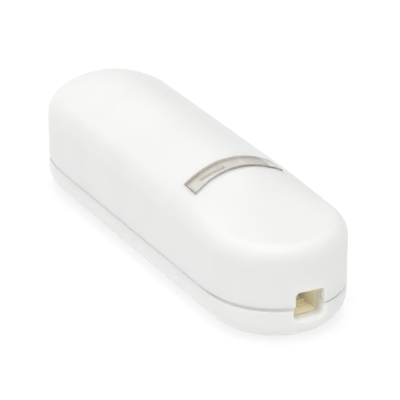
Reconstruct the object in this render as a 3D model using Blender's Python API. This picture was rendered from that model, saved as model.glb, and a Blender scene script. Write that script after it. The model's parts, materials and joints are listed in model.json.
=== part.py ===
"""Inline touch switch for a lamp cord, as an assembly of separate pieces.

A pill-shaped two-shell housing sits in the run of a two-core mains cord. A finger laid in the dish on
top is sensed by an electrode and a spring on the board, a small relay switches the lamp, and a curved
light guide across the top shows the state. Each cord end is held by a screwed cord grip and is
connected in a rising-cage terminal.

Metres, +Z up. The origin is on the resting face, in the middle of the plan. The cord runs along X.
"""

import math

import bmesh
import bpy
from mathutils import Matrix, Vector

MM = 0.001

# Housing, overall
BODY_LENGTH = 100.0 * MM
BODY_WIDTH = 29.6 * MM
BODY_HEIGHT = 26.8 * MM
SEAM_HEIGHT = 7.5 * MM
SEAM_GAP = 0.3 * MM
BOTTOM_ROUND = 5.8 * MM
TOP_ROUND = 3.0 * MM
CROWN_RISE = 5.8 * MM
SHELL_WALL = 1.6 * MM
ROOF_THICKNESS = 2.2 * MM
FLOOR_THICKNESS = 2.0 * MM
TONGUE_THICKNESS = 0.9 * MM
TONGUE_RISE = 1.7 * MM

# Clearances, and how far a cutter runs past what it cuts or a joined piece runs into its neighbour
FIT_GAP = 0.3 * MM
LENS_GAP = 0.15 * MM
OVERRUN = 1.0 * MM
BITE = 0.5 * MM

# Light guide: a band between two arcs about one centre, ahead of the middle of the body
LENS_BACK = 16.1 * MM
LENS_BAND = 4.5 * MM
LENS_CURVE = 45.0 * MM
LENS_HALF_SPAN = 10.5 * MM
LENS_STEP = 0.09
LENS_FLANGE = 0.9 * MM
LENS_LEG_WIDTH = 4.4 * MM
LENS_LEG_DEPTH = 3.2 * MM
LENS_FLANGE_THICKNESS = 0.9 * MM
LENS_POINTS = 13

# Finger ramp and dish, towards the +X end
RAMP_REST_CROWN = 0.12
RAMP_CURVE = 1.25
RAMP_INSET = 4.0 * MM
DISH_DEPTH = 0.35 * MM
DISH_LENGTH = 6.0 * MM
DISH_WIDTH = 6.5 * MM

# Cord entries, in the seam at both ends
ENTRY_WIDTH = 6.6 * MM
ENTRY_BOTTOM = 5.2 * MM
ENTRY_TOP = 11.8 * MM
ENTRY_ROUND = 1.0 * MM

# Circuit board
BOARD_BOTTOM = 4.0 * MM
BOARD_THICKNESS = 1.6 * MM
BOARD_FROM_END = 12.5 * MM
BOARD_SIDE_GAP = 0.6 * MM
BOARD_CORNER = 1.5 * MM
LEAD_RADIUS = 0.4 * MM
LEAD_BELOW_BOARD = 1.1 * MM

# Housing screws, driven from below at four places
PILLAR_FROM_TERMINAL_FACE = 3.5 * MM
PILLAR_Y = 8.2 * MM
PILLAR_RADIUS = 3.1 * MM
BOSS_RADIUS = 2.4 * MM
SCREW_RADIUS = 1.1 * MM
SCREW_HEAD_RADIUS = 2.2 * MM
SCREW_HEAD_HEIGHT = 1.3 * MM
SCREW_SINK = 0.6 * MM
SCREW_LENGTH = 13.0 * MM

# Cord grips: a trough for the cord, a bar above it and a screw on each side
GRIP_FROM_END = 8.5 * MM
GRIP_BAR_LENGTH = 4.6 * MM
GRIP_BAR_THICKNESS = 2.4 * MM
GRIP_POST_RADIUS = 2.0 * MM
GRIP_BAR_STOP = 1.0 * MM
GRIP_SCREW_RADIUS = 1.0 * MM
GRIP_HEAD_RADIUS = 1.9 * MM
GRIP_HEAD_HEIGHT = 1.6 * MM
GRIP_TRAVEL = 2.1 * MM
GRIP_BAR_CHAMFER = 1.0 * MM
GRIP_BAR_ARCH = 0.9 * MM
GRIP_HOLE_FLOOR = 2.4 * MM
SADDLE_SIDE_GAP = 0.05 * MM
SADDLE_INNER = 11.7 * MM
SADDLE_OUTER = 3.8 * MM
CHEEK_THICKNESS = 0.55 * MM
SADDLE_RIDGE = 0.6 * MM
SADDLE_RIDGES = 3

# Terminals: two poles at each end
TERMINAL_FROM_END = 19.5 * MM
TERMINAL_LENGTH = 7.6 * MM
TERMINAL_HALF_WIDTH = 5.2 * MM
POLE_Y = 2.55 * MM
CHAMBER_LENGTH = 4.8 * MM
CHAMBER_FLOOR = 1.2 * MM
CHAMBER_ROOF = 1.6 * MM
WIRE_ENTRY_WIDTH = 3.0 * MM
WIRE_ENTRY_HEIGHT = 3.4 * MM
CAGE_WIDTH = 3.4 * MM
CAGE_LENGTH = 3.0 * MM
CAGE_HEIGHT = 5.2 * MM
CAGE_BOTTOM_BAR = 0.7 * MM
CAGE_TOP_BAR = 0.9 * MM
CAGE_SIDE = 0.5 * MM
CAGE_TRAVEL = 1.5 * MM
TERMINAL_SCREW_RADIUS = 0.8 * MM
TERMINAL_HEAD_RADIUS = 1.5 * MM
TERMINAL_HEAD_HEIGHT = 1.0 * MM
TONGUE_PLATE = 0.5 * MM
TONGUE_WIDTH = 1.6 * MM
TONGUE_PAST_CAGE = 0.3 * MM
WIRE_ENTRY_LEDGE = 0.5 * MM

# Relay, beside the far terminal
RELAY_FROM_TERMINAL = 1.4 * MM
RELAY_Y = -5.5 * MM
RELAY_LENGTH = 19.0 * MM
RELAY_WIDTH = 10.0 * MM
RELAY_HEADROOM = 1.8 * MM
RELAY_WALL = 0.7 * MM
RELAY_BASE_HEIGHT = 1.5 * MM
RELAY_PIN_INSET = 1.0 * MM
COIL_ABOVE_BASE = 0.6 * MM
COIL_BACK = -6.0 * MM
COIL_FRONT = 3.0 * MM
FLANGE_THICKNESS = 0.8 * MM
FLANGE_HALF = 3.2 * MM
CORE_RADIUS = 1.2 * MM
HUB_THICKNESS = 0.6 * MM
WINDING_RADIUS = 3.0 * MM
CORE_PAST_FLANGE = 1.2 * MM
YOKE_THICKNESS = 1.0 * MM
YOKE_HALF_WIDTH = 3.0 * MM
YOKE_ABOVE_COIL = 0.5 * MM
YOKE_SHORT = 0.4 * MM
ARMATURE_GAP = 0.8 * MM
ARMATURE_THICKNESS = 0.9 * MM
ARMATURE_DROP = 6.7 * MM
ARMATURE_SET_IN = 0.2 * MM
BLADE_THICKNESS = 0.3 * MM
BLADE_DROP = 8.3 * MM
BLADE_TOP_DROP = 2.0 * MM
BLADE_PAST_CONTACT = 0.5 * MM
CONTACT_RADIUS = 0.7 * MM
CONTACT_GAP = 1.0 * MM
BUTTON_IN_FRONT = 0.4 * MM
FIXED_STRIP = 0.4 * MM
FIXED_BUTTON = 0.6 * MM

# Touch electrode and spring, under the dish
SPRING_RADIUS = 2.2 * MM
SPRING_WIRE = 0.3 * MM
SPRING_TURNS = 6
SPRING_FROM_BOARD_END = 3.3 * MM
ELECTRODE_RADIUS = 5.5 * MM
ELECTRODE_THICKNESS = 0.4 * MM

# Small parts on the board
LED_LENGTH = 2.8 * MM
LED_WIDTH = 3.4 * MM
LED_HEIGHT = 1.9 * MM
CHIP_Y = -4.5 * MM
CHIP_LENGTH = 5.0 * MM
CHIP_WIDTH = 4.0 * MM
CHIP_HEIGHT = 1.5 * MM
CHIP_PITCH = 1.27 * MM
CHIP_LEG_WIDTH = 0.4 * MM
CHIP_LEG_REACH = 3.0 * MM
CHIP_LEG_LOW = 0.3 * MM
CHIP_LEG_HIGH = 0.5 * MM
RESISTOR_SHIFT = 0.7 * MM
RESISTOR_Y = 7.6 * MM
RESISTOR_ABOVE_SEAT = 1.6 * MM
RESISTOR_HALF_LENGTH = 3.2 * MM
RESISTOR_END_RADIUS = 1.3 * MM
RESISTOR_WAIST_RADIUS = 1.0 * MM
RESISTOR_LEAD_REACH = 4.2 * MM
VARISTOR_PLACE = (-1.0 * MM, 5.0 * MM)
VARISTOR_RADIUS = 3.6 * MM
VARISTOR_HALF_THICKNESS = 1.7 * MM
VARISTOR_EDGE = 0.7 * MM
VARISTOR_LEAD_REACH = 2.0 * MM
FILTER_PLACE = (-13.0 * MM, 4.6 * MM)
FILTER_SIZE = (13.0 * MM, 6.0 * MM, 11.0 * MM)
FILTER_LEAD_REACH = 5.0 * MM
SMOOTHING_PLACE = (5.2 * MM, 4.8 * MM)
SMOOTHING_RADIUS = 4.0 * MM
SMOOTHING_HEIGHT = 11.5 * MM
SMOOTHING_LEAD_REACH = 1.75 * MM
FUSE_PLACE = (3.0 * MM, -6.0 * MM)
FUSE_RADIUS = 4.2 * MM
FUSE_HEIGHT = 7.6 * MM
FUSE_LEAD_REACH = 2.5 * MM
CAN_EDGE = 0.5 * MM
RECTIFIER_Y = 2.4 * MM
RECTIFIER_SIZE = (5.0 * MM, 4.6 * MM, 2.6 * MM)
RECTIFIER_LEADS = (1.9 * MM, 1.6 * MM)

# What follows from the sizes above
HALF_LENGTH = BODY_LENGTH / 2
HALF_WIDTH = BODY_WIDTH / 2
CAP_X = HALF_LENGTH - HALF_WIDTH
WALL_TOP = BODY_HEIGHT - CROWN_RISE - TOP_ROUND
TONGUE_OUTER = SHELL_WALL + FIT_GAP
BASE_WALL = TONGUE_OUTER + TONGUE_THICKNESS
LENS_FRONT = LENS_BACK + LENS_BAND
LENS_CENTRE_X = LENS_BACK + LENS_CURVE
RAMP_START = LENS_FRONT + 1.0 * MM
RAMP_END = HALF_LENGTH - RAMP_INSET
BOARD_TOP = BOARD_BOTTOM + BOARD_THICKNESS
BOARD_HALF_LENGTH = HALF_LENGTH - BOARD_FROM_END
BOARD_HALF_WIDTH = HALF_WIDTH - BASE_WALL - BOARD_SIDE_GAP
SEAT = BOARD_TOP + FIT_GAP
TERMINAL_FACE = HALF_LENGTH - TERMINAL_FROM_END
PILLAR_X = TERMINAL_FACE - PILLAR_FROM_TERMINAL_FACE
GRIP_X = HALF_LENGTH - GRIP_FROM_END
GRIP_BAR_BOTTOM = ENTRY_TOP + FIT_GAP
SADDLE_HALF_WIDTH = ENTRY_WIDTH / 2 + SADDLE_SIDE_GAP + CHEEK_THICKNESS
GRIP_SCREW_Y = SADDLE_HALF_WIDTH + FIT_GAP + GRIP_POST_RADIUS
GRIP_BAR_HALF_WIDTH = GRIP_SCREW_Y + GRIP_HEAD_RADIUS
GRIP_POST_TOP = GRIP_BAR_BOTTOM - GRIP_TRAVEL - GRIP_BAR_STOP
TERMINAL_HEIGHT = CHAMBER_FLOOR + CAGE_HEIGHT + CAGE_TRAVEL + 2 * FIT_GAP + CHAMBER_ROOF
CHAMBER_WIDTH = CAGE_WIDTH + 2 * FIT_GAP
SPRING_X = BOARD_HALF_LENGTH - SPRING_FROM_BOARD_END
DISH_X = SPRING_X
LENS_LEG_X = (LENS_BACK + LENS_FRONT) / 2 + 0.4 * MM
SMALL_PARTS_X = LENS_BACK - 3.6 * MM
RELAY_X = TERMINAL_LENGTH - TERMINAL_FACE + RELAY_FROM_TERMINAL + RELAY_LENGTH / 2

# Facets
CAP_STEPS = 12
ROUND_STEPS = 4
CROWN_RINGS = (0.35, 0.55, 0.77, 1.0)
CEILING_RINGS = (0.22, 0.4, 0.6, 0.8, 1.0)
SPRING_STEPS = 10
ELECTRODE_STEPS = 20

board_holes = []


# Helpers ---------------------------------------------------------------------------------------


def clear_scene():
    for obj in list(bpy.data.objects):
        bpy.data.objects.remove(obj)


def material(name, colour, roughness, metallic=0.0, transmission=0.0):
    """A Principled material, made once for each name."""
    made = bpy.data.materials.get(name)
    if made:
        return made
    made = bpy.data.materials.new(name)
    made.use_nodes = True
    made.diffuse_color = (*colour, 1.0)
    shader = made.node_tree.nodes["Principled BSDF"]
    shader.inputs["Base Color"].default_value = (*colour, 1.0)
    shader.inputs["Roughness"].default_value = roughness
    shader.inputs["Metallic"].default_value = metallic
    shader.inputs["Transmission Weight"].default_value = transmission
    return made


def white_plastic():
    return material("white_plastic", (0.86, 0.86, 0.84), 0.4)


def clear_plastic():
    return material("smoky_clear_plastic", (0.68, 0.65, 0.58), 0.12, transmission=0.8)


def cream_plastic():
    return material("cream_nylon", (0.78, 0.70, 0.48), 0.5)


def grey_plastic():
    return material("grey_terminal_plastic", (0.42, 0.44, 0.45), 0.45)


def steel():
    return material("zinc_plated_steel", (0.66, 0.67, 0.69), 0.3, metallic=1.0)


def brass():
    return material("tinned_brass", (0.74, 0.66, 0.46), 0.3, metallic=1.0)


def copper():
    return material("copper", (0.78, 0.43, 0.28), 0.35, metallic=1.0)


def add_object(name, shape, finish):
    """Turns a bmesh into an object of closed, outward faces."""
    bmesh.ops.remove_doubles(shape, verts=shape.verts, dist=0.001 * MM)
    bmesh.ops.recalc_face_normals(shape, faces=shape.faces)
    mesh = bpy.data.meshes.new(name)
    shape.to_mesh(mesh)
    shape.free()
    mesh.materials.append(finish)
    obj = bpy.data.objects.new(name, mesh)
    bpy.context.scene.collection.objects.link(obj)
    return obj


def smooth(obj, angle=35.0):
    obj.data.shade_smooth()
    obj.data.set_sharp_from_angle(angle=math.radians(angle))
    return obj


def box(name, low, high, finish):
    """A block between two corners."""
    shape = bmesh.new()
    bmesh.ops.create_cube(shape, size=1.0)
    low = Vector(low)
    high = Vector(high)
    for vert in shape.verts:
        vert.co = Vector((low[i] + (vert.co[i] + 0.5) * (high[i] - low[i]) for i in range(3)))
    return add_object(name, shape, finish)


def loft(name, rings, finish, closed_ends=False):
    """A skin over rings of equally many points. A ring drawn to a line or a point closes the skin."""
    shape = bmesh.new()
    rows = [[shape.verts.new(point) for point in ring] for ring in rings]
    count = len(rows[0])
    for row, following in zip(rows, rows[1:]):
        for i in range(count):
            j = (i + 1) % count
            shape.faces.new((row[i], row[j], following[j], following[i]))
    if closed_ends:
        shape.faces.new(rows[0])
        shape.faces.new(rows[-1])
    return add_object(name, shape, finish)


def turned(name, profile, centre, finish, segments=12, axis="Z"):
    """A body of revolution from (radius, height) points, closed where the radius is 0 or by caps."""
    rings = []
    for radius, height in profile:
        ring = []
        for i in range(segments):
            turn = math.tau * (i + 0.5) / segments
            ring.append(Vector((radius * math.cos(turn), radius * math.sin(turn), height)))
        rings.append(ring)
    obj = loft(name, rings, finish, closed_ends=profile[0][0] > 0)
    if axis == "X":
        obj.data.transform(Matrix.Rotation(math.radians(90.0), 4, "Y"))
    obj.data.transform(Matrix.Translation(Vector(centre)))
    return obj


def rod(name, radius, low, high, centre, finish, segments=12, axis="Z"):
    return turned(name, [(radius, low), (radius, high)], centre, finish, segments, axis)


def combine(target, tools, operation):
    """Applies a Boolean with each tool in turn and removes the tools."""
    for tool in tools:
        step = target.modifiers.new(operation.title(), "BOOLEAN")
        step.operation = operation
        step.solver = "EXACT"
        step.object = tool
    bpy.context.view_layer.update()
    graph = bpy.context.evaluated_depsgraph_get()
    result = bpy.data.meshes.new_from_object(target.evaluated_get(graph))
    target.modifiers.clear()
    target.data = result
    for tool in tools:
        bpy.data.objects.remove(tool)
    return target


def cut(target, *tools):
    return combine(target, tools, "DIFFERENCE")


def join(target, *tools):
    return combine(target, tools, "UNION")


def set_origin(obj, point):
    """Moves the object's origin to a point, and leaves its shape where it is."""
    obj.data.transform(Matrix.Translation(-Vector(point)))
    obj.location = point
    return obj


def with_leads(obj, places, finish):
    """Adds a round lead through the board below the part at each place."""
    for x, y in places:
        board_holes.append((x, y))
        low = BOARD_BOTTOM - LEAD_BELOW_BOARD
        join(obj, rod("lead", LEAD_RADIUS, low, SEAT + BITE, (x, y, 0), finish, 8))
    return obj


# The housing's surfaces ------------------------------------------------------------------------


def inset_at(x, y):
    """How far inside the plan's edge a point is. The plan is two half circles and a straight run."""
    beyond = max(abs(x) - CAP_X, 0.0)
    return HALF_WIDTH - math.hypot(beyond, y)


def ease(t):
    t = min(max(t, 0.0), 1.0)
    return t * t * (3 - 2 * t)


def crown_share(x):
    """The share of the full crown left at x: all of it behind the light guide, little at the tip."""
    if x <= RAMP_START:
        return 1.0 - LENS_STEP * ease((x - LENS_BACK) / (RAMP_START - LENS_BACK))
    t = min((x - RAMP_START) / (RAMP_END - RAMP_START), 1.0)
    return RAMP_REST_CROWN + (1.0 - LENS_STEP - RAMP_REST_CROWN) * (1.0 - t) ** RAMP_CURVE


def edge_round(inset):
    """Rise of the quarter round along the top edge."""
    left = TOP_ROUND - min(max(inset, 0.0), TOP_ROUND)
    return math.sqrt(max(TOP_ROUND**2 - left**2, 0.0))


def full_crown(x, y):
    """Height of the top face with its whole crown, as it is behind the light guide."""
    inset = min(max(inset_at(x, y), 0.0), HALF_WIDTH)
    arch = 1.0 - (1.0 - inset / HALF_WIDTH) ** 2
    return WALL_TOP + edge_round(inset) + CROWN_RISE * arch


def top_face(x, y):
    """Height of the finished top face, with the finger ramp and its dish."""
    inset = min(max(inset_at(x, y), 0.0), HALF_WIDTH)
    arch = 1.0 - (1.0 - inset / HALF_WIDTH) ** 2
    dish = DISH_DEPTH * math.exp(-(((x - DISH_X) / DISH_LENGTH) ** 2) - (y / DISH_WIDTH) ** 2)
    return WALL_TOP + edge_round(inset) + CROWN_RISE * arch * crown_share(x) - dish * ease(inset / TOP_ROUND)


def ceiling(x, y):
    return top_face(x, y) - ROOF_THICKNESS


def outline(inset):
    """The plan drawn in by an inset, with extra points along the straights where the ramp bends."""
    radius = HALF_WIDTH - inset
    bends = [LENS_BACK, RAMP_START, (RAMP_START + CAP_X) / 2]
    points = []
    for i in range(CAP_STEPS + 1):
        turn = math.pi * (i / CAP_STEPS - 0.5)
        points.append((CAP_X + radius * math.cos(turn), radius * math.sin(turn)))
    points += [(x, radius) for x in reversed(bends)]
    for i in range(CAP_STEPS + 1):
        turn = math.pi * (i / CAP_STEPS + 0.5)
        points.append((-CAP_X + radius * math.cos(turn), radius * math.sin(turn)))
    points += [(x, -radius) for x in bends]
    return points


def flat_ring(inset, height):
    return [(x, y, height) for x, y in outline(inset)]


def draped_ring(inset, surface):
    return [(x, y, surface(x, y)) for x, y in outline(inset)]


def both_ends(make):
    """Calls make(name of the end, direction along X) for the near and the far end."""
    make("near", 1)
    make("far", -1)


def entry_cutter(direction):
    """The cord entry: a block with rounded corners, through the end wall."""
    half = ENTRY_WIDTH / 2
    profile = []
    for side, level, start in (
        (half, ENTRY_TOP, 0.0),
        (-half, ENTRY_TOP, 90.0),
        (-half, ENTRY_BOTTOM, 180.0),
        (half, ENTRY_BOTTOM, 270.0),
    ):
        centre_y = side - math.copysign(ENTRY_ROUND, side)
        centre_z = level + (ENTRY_ROUND if level == ENTRY_BOTTOM else -ENTRY_ROUND)
        for i in range(4):
            turn = math.radians(start + 30.0 * i)
            profile.append((centre_y + ENTRY_ROUND * math.cos(turn), centre_z + ENTRY_ROUND * math.sin(turn)))
    inner = HALF_LENGTH - BASE_WALL - OVERRUN
    outer = HALF_LENGTH + OVERRUN
    rings = [[(direction * x, y, z) for y, z in profile] for x in (inner, outer)]
    return loft("entry_cutter", rings, white_plastic(), closed_ends=True)


# Housing ---------------------------------------------------------------------------------------


def pillar_places():
    return [(sx * PILLAR_X, sy * PILLAR_Y) for sx in (1, -1) for sy in (1, -1)]


def make_base_shell():
    rim = SEAM_HEIGHT - SEAM_GAP / 2
    tongue_top = SEAM_HEIGHT + TONGUE_RISE
    rings = [flat_ring(HALF_WIDTH, FLOOR_THICKNESS)]
    rings += [
        flat_ring(BASE_WALL, FLOOR_THICKNESS),
        flat_ring(BASE_WALL, tongue_top),
        flat_ring(TONGUE_OUTER, tongue_top),
        flat_ring(TONGUE_OUTER, rim),
        flat_ring(0.0, rim),
    ]
    for i in range(ROUND_STEPS + 1):
        turn = math.radians(90.0) * i / ROUND_STEPS
        inset = BOTTOM_ROUND * (1.0 - math.cos(turn))
        rings.append(flat_ring(inset, BOTTOM_ROUND * (1.0 - math.sin(turn))))
    rings.append(flat_ring(HALF_WIDTH, 0.0))
    base = loft("base_shell", rings, white_plastic())

    post_low = FLOOR_THICKNESS - BITE
    pillar_top = BOARD_BOTTOM - FIT_GAP
    posts = [rod("pillar", PILLAR_RADIUS, post_low, pillar_top, (x, y, 0), white_plastic(), 16)
             for x, y in pillar_places()]
    posts += [rod("post", GRIP_POST_RADIUS, post_low, GRIP_POST_TOP, (end * GRIP_X, side * GRIP_SCREW_Y, 0),
                  white_plastic(), 12)
              for end in (1, -1) for side in (1, -1)]
    join(base, *posts)

    head_room = SCREW_SINK + SCREW_HEAD_HEIGHT + FIT_GAP
    holes = []
    for x, y in pillar_places():
        bore = SCREW_RADIUS + FIT_GAP
        sink = SCREW_HEAD_RADIUS + FIT_GAP
        profile = [(sink, -OVERRUN), (sink, head_room), (bore, head_room), (bore, pillar_top + OVERRUN)]
        holes.append(turned("screw_hole", profile, (x, y, 0), white_plastic(), 16))
    for end in (1, -1):
        for side in (1, -1):
            centre = (end * GRIP_X, side * GRIP_SCREW_Y, 0)
            holes.append(rod("grip_hole", GRIP_SCREW_RADIUS + FIT_GAP, GRIP_HOLE_FLOOR,
                             GRIP_POST_TOP + OVERRUN, centre, white_plastic(), 12))
    holes += [entry_cutter(1), entry_cutter(-1)]
    return smooth(cut(base, *holes))


def lens_outline(radius, half_span):
    """Points along one edge of the light guide's band, from -Y to +Y."""
    limit = math.asin(half_span / radius)
    points = []
    for i in range(LENS_POINTS):
        turn = limit * (2 * i / (LENS_POINTS - 1) - 1)
        points.append((LENS_CENTRE_X - radius * math.cos(turn), radius * math.sin(turn)))
    return points


def make_upper_shell():
    rim = SEAM_HEIGHT + SEAM_GAP / 2
    turns = [math.radians(90.0) * i / ROUND_STEPS for i in range(ROUND_STEPS + 1)]
    steps = [TOP_ROUND * (1.0 - math.cos(turn)) for turn in turns]
    crown = [HALF_WIDTH * share for share in CROWN_RINGS]
    inner = [SHELL_WALL] + [HALF_WIDTH * share for share in CEILING_RINGS]
    rings = [draped_ring(inset, ceiling) for inset in reversed(inner)]
    rings += [flat_ring(SHELL_WALL, rim), flat_ring(0.0, rim)]
    rings += [draped_ring(inset, top_face) for inset in steps + crown]
    shell = loft("upper_shell", rings, white_plastic())

    bosses = [rod("boss", BOSS_RADIUS, SEAT, ceiling(x, y) + ROOF_THICKNESS / 2, (x, y, 0),
                  white_plastic(), 12)
              for x, y in pillar_places()]
    join(shell, *bosses)

    bores = [rod("bore", SCREW_RADIUS + FIT_GAP, SEAT - OVERRUN, SCREW_SINK + SCREW_LENGTH + OVERRUN,
                 (x, y, 0), white_plastic(), 12)
             for x, y in pillar_places()]
    back = lens_outline(LENS_CURVE, LENS_HALF_SPAN)
    front = lens_outline(LENS_CURVE - LENS_BAND, LENS_HALF_SPAN)
    low = WALL_TOP - ROOF_THICKNESS - OVERRUN
    rings = [[(x, y, z) for x, y in back + front[::-1]] for z in (low, BODY_HEIGHT + OVERRUN)]
    bores.append(loft("window", rings, white_plastic(), closed_ends=True))
    bores += [entry_cutter(1), entry_cutter(-1)]
    return smooth(cut(shell, *bores))


def make_light_guide():
    """A band flush with the crown, a flange under the roof and a leg down to the indicator light."""
    flange_top = -(ROOF_THICKNESS + LENS_STEP * CROWN_RISE + FIT_GAP)
    flange_low = flange_top - LENS_FLANGE_THICKNESS
    back = LENS_CURVE - LENS_GAP
    front = LENS_CURVE - LENS_BAND + LENS_GAP
    section = [
        (back, 0.0),
        (back, flange_top),
        (back + LENS_FLANGE, flange_top),
        (back + LENS_FLANGE, flange_low),
        (front - LENS_FLANGE, flange_low),
        (front - LENS_FLANGE, flange_top),
        (front, flange_top),
        (front, 0.0),
    ]
    edges = [lens_outline(radius, LENS_HALF_SPAN - LENS_GAP) for radius, _ in section]
    rings = []
    for i in range(len(edges[0])):
        ring = []
        for (_, drop), edge in zip(section, edges):
            x, y = edge[i]
            ring.append((x, y, full_crown(0.0, y) + drop))
        rings.append(ring)
    guide = loft("light_guide", rings, clear_plastic(), closed_ends=True)
    half = LENS_LEG_WIDTH / 2
    depth = LENS_LEG_DEPTH / 2
    leg_low = SEAT + LED_HEIGHT + FIT_GAP
    leg = box("leg", (LENS_LEG_X - depth, -half, leg_low),
              (LENS_LEG_X + depth, half, BODY_HEIGHT + flange_low + BITE), clear_plastic())
    return smooth(join(guide, leg))


def make_screw(name, place, radius, head_radius, head_height, head_face, length, upward, slot):
    """A screw along Z. head_face is the height of the head's outer face; upward screws point up."""
    sign = 1 if upward else -1
    profile = [
        (0.0, 0.0),
        (head_radius, 0.0),
        (head_radius, sign * head_height),
        (radius, sign * head_height),
        (radius, sign * (length - radius)),
        (0.35 * radius, sign * length),
        (0.0, sign * length),
    ]
    screw = turned(name, profile, (place[0], place[1], head_face), steel(), 12)
    reach = 1.4 * head_radius if slot == "slot" else 0.6 * head_radius
    half = 0.16 * head_radius
    depth = 0.5 * head_height
    x, y = place
    arms = [(reach, half)] if slot == "slot" else [(reach, half), (half, reach)]
    cutters = []
    for across, along in arms:
        inside = head_face + sign * depth
        outside = head_face - sign * OVERRUN
        cutters.append(box("recess", (x - across, y - along, min(inside, outside)),
                           (x + across, y + along, max(inside, outside)), steel()))
    return smooth(cut(screw, *cutters))


def make_housing_screws():
    names = ("near_left", "near_right", "far_left", "far_right")
    for name, place in zip(names, pillar_places()):
        make_screw("housing_screw_" + name, place, SCREW_RADIUS, SCREW_HEAD_RADIUS, SCREW_HEAD_HEIGHT,
                   SCREW_SINK, SCREW_LENGTH, True, "cross")


# Cord grips ------------------------------------------------------------------------------------


def make_saddle(end, direction):
    """A trough under the cord: a ridged floor, and cheeks that step down where the bar passes over."""
    low = FLOOR_THICKNESS + FIT_GAP
    top = ENTRY_BOTTOM - SADDLE_RIDGE
    inner = HALF_LENGTH - SADDLE_INNER
    outer = HALF_LENGTH - SADDLE_OUTER
    profile = [(inner, low), (inner, top)]
    pitch = (outer - inner) / (2 * SADDLE_RIDGES + 1)
    for i in range(SADDLE_RIDGES):
        start = inner + (2 * i + 1) * pitch
        profile += [(start, top), (start + pitch / 2, ENTRY_BOTTOM), (start + pitch, top)]
    profile += [(outer, top), (outer, low)]
    edge = SADDLE_HALF_WIDTH - CHEEK_THICKNESS / 2
    sides = [[(direction * x, y, z) for x, z in profile] for y in (-edge, edge)]
    saddle = loft("cord_saddle_" + end, sides, cream_plastic(), closed_ends=True)

    step_x = GRIP_X + GRIP_BAR_LENGTH / 2 + FIT_GAP
    step_z = GRIP_BAR_BOTTOM - GRIP_TRAVEL - FIT_GAP
    cheek = [(inner, low), (inner, step_z), (step_x, step_z), (step_x, ENTRY_TOP - FIT_GAP),
             (outer, ENTRY_TOP - FIT_GAP), (outer, low)]
    cheeks = []
    for side in (1, -1):
        faces = (side * (SADDLE_HALF_WIDTH - CHEEK_THICKNESS), side * SADDLE_HALF_WIDTH)
        cheeks.append(loft("cheek", [[(direction * x, y, z) for x, z in cheek] for y in faces],
                           cream_plastic(), closed_ends=True))
    return join(saddle, *cheeks)


def make_grip_bar(end, direction):
    """The bar across the cord. It slides along Z as its screws turn."""
    low = GRIP_BAR_BOTTOM
    high = low + GRIP_BAR_THICKNESS
    half = GRIP_BAR_LENGTH / 2
    x = direction * GRIP_X
    chamfer = GRIP_BAR_CHAMFER
    edge = GRIP_BAR_HALF_WIDTH
    profile = [(-edge, low), (-edge, high - chamfer), (-edge + chamfer, high), (edge - chamfer, high),
               (edge, high - chamfer), (edge, low), (0.55 * ENTRY_WIDTH, low)]
    for i in range(1, 4):
        turn = math.radians(45.0 * i)
        profile.append((0.5 * ENTRY_WIDTH * math.cos(turn), low + GRIP_BAR_ARCH * math.sin(turn)))
    profile.append((-0.55 * ENTRY_WIDTH, low))
    sides = [[(x + shift, y, z) for y, z in profile] for shift in (-half, half)]
    bar = loft("cord_grip_" + end, sides, cream_plastic(), closed_ends=True)
    bores = [rod("bore", GRIP_SCREW_RADIUS + FIT_GAP, low - OVERRUN, high + OVERRUN,
                 (x, side * GRIP_SCREW_Y, 0), cream_plastic(), 12)
             for side in (1, -1)]
    cut(bar, *bores)
    return set_origin(bar, (x, 0, low))


def make_grip_screws(end, direction):
    head_face = GRIP_BAR_BOTTOM + GRIP_BAR_THICKNESS + FIT_GAP + GRIP_HEAD_HEIGHT
    lowest = GRIP_HOLE_FLOOR + FIT_GAP + GRIP_TRAVEL
    x = direction * GRIP_X
    for side, y in (("left", GRIP_SCREW_Y), ("right", -GRIP_SCREW_Y)):
        screw = make_screw(f"cord_grip_screw_{end}_{side}", (x, y), GRIP_SCREW_RADIUS, GRIP_HEAD_RADIUS,
                           GRIP_HEAD_HEIGHT, head_face, head_face - lowest, False, "cross")
        set_origin(screw, (x, y, head_face))


def make_cord_grip(end, direction):
    make_saddle(end, direction)
    make_grip_bar(end, direction)
    make_grip_screws(end, direction)


# Terminals -------------------------------------------------------------------------------------


def pole_places(direction):
    x = direction * (TERMINAL_FACE - TERMINAL_LENGTH / 2)
    return [("left", x, POLE_Y), ("right", x, -POLE_Y)]


def cage_low():
    return SEAT + CHAMBER_FLOOR + FIT_GAP


def tongue_top():
    return cage_low() + CAGE_HEIGHT - CAGE_TOP_BAR - FIT_GAP


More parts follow.
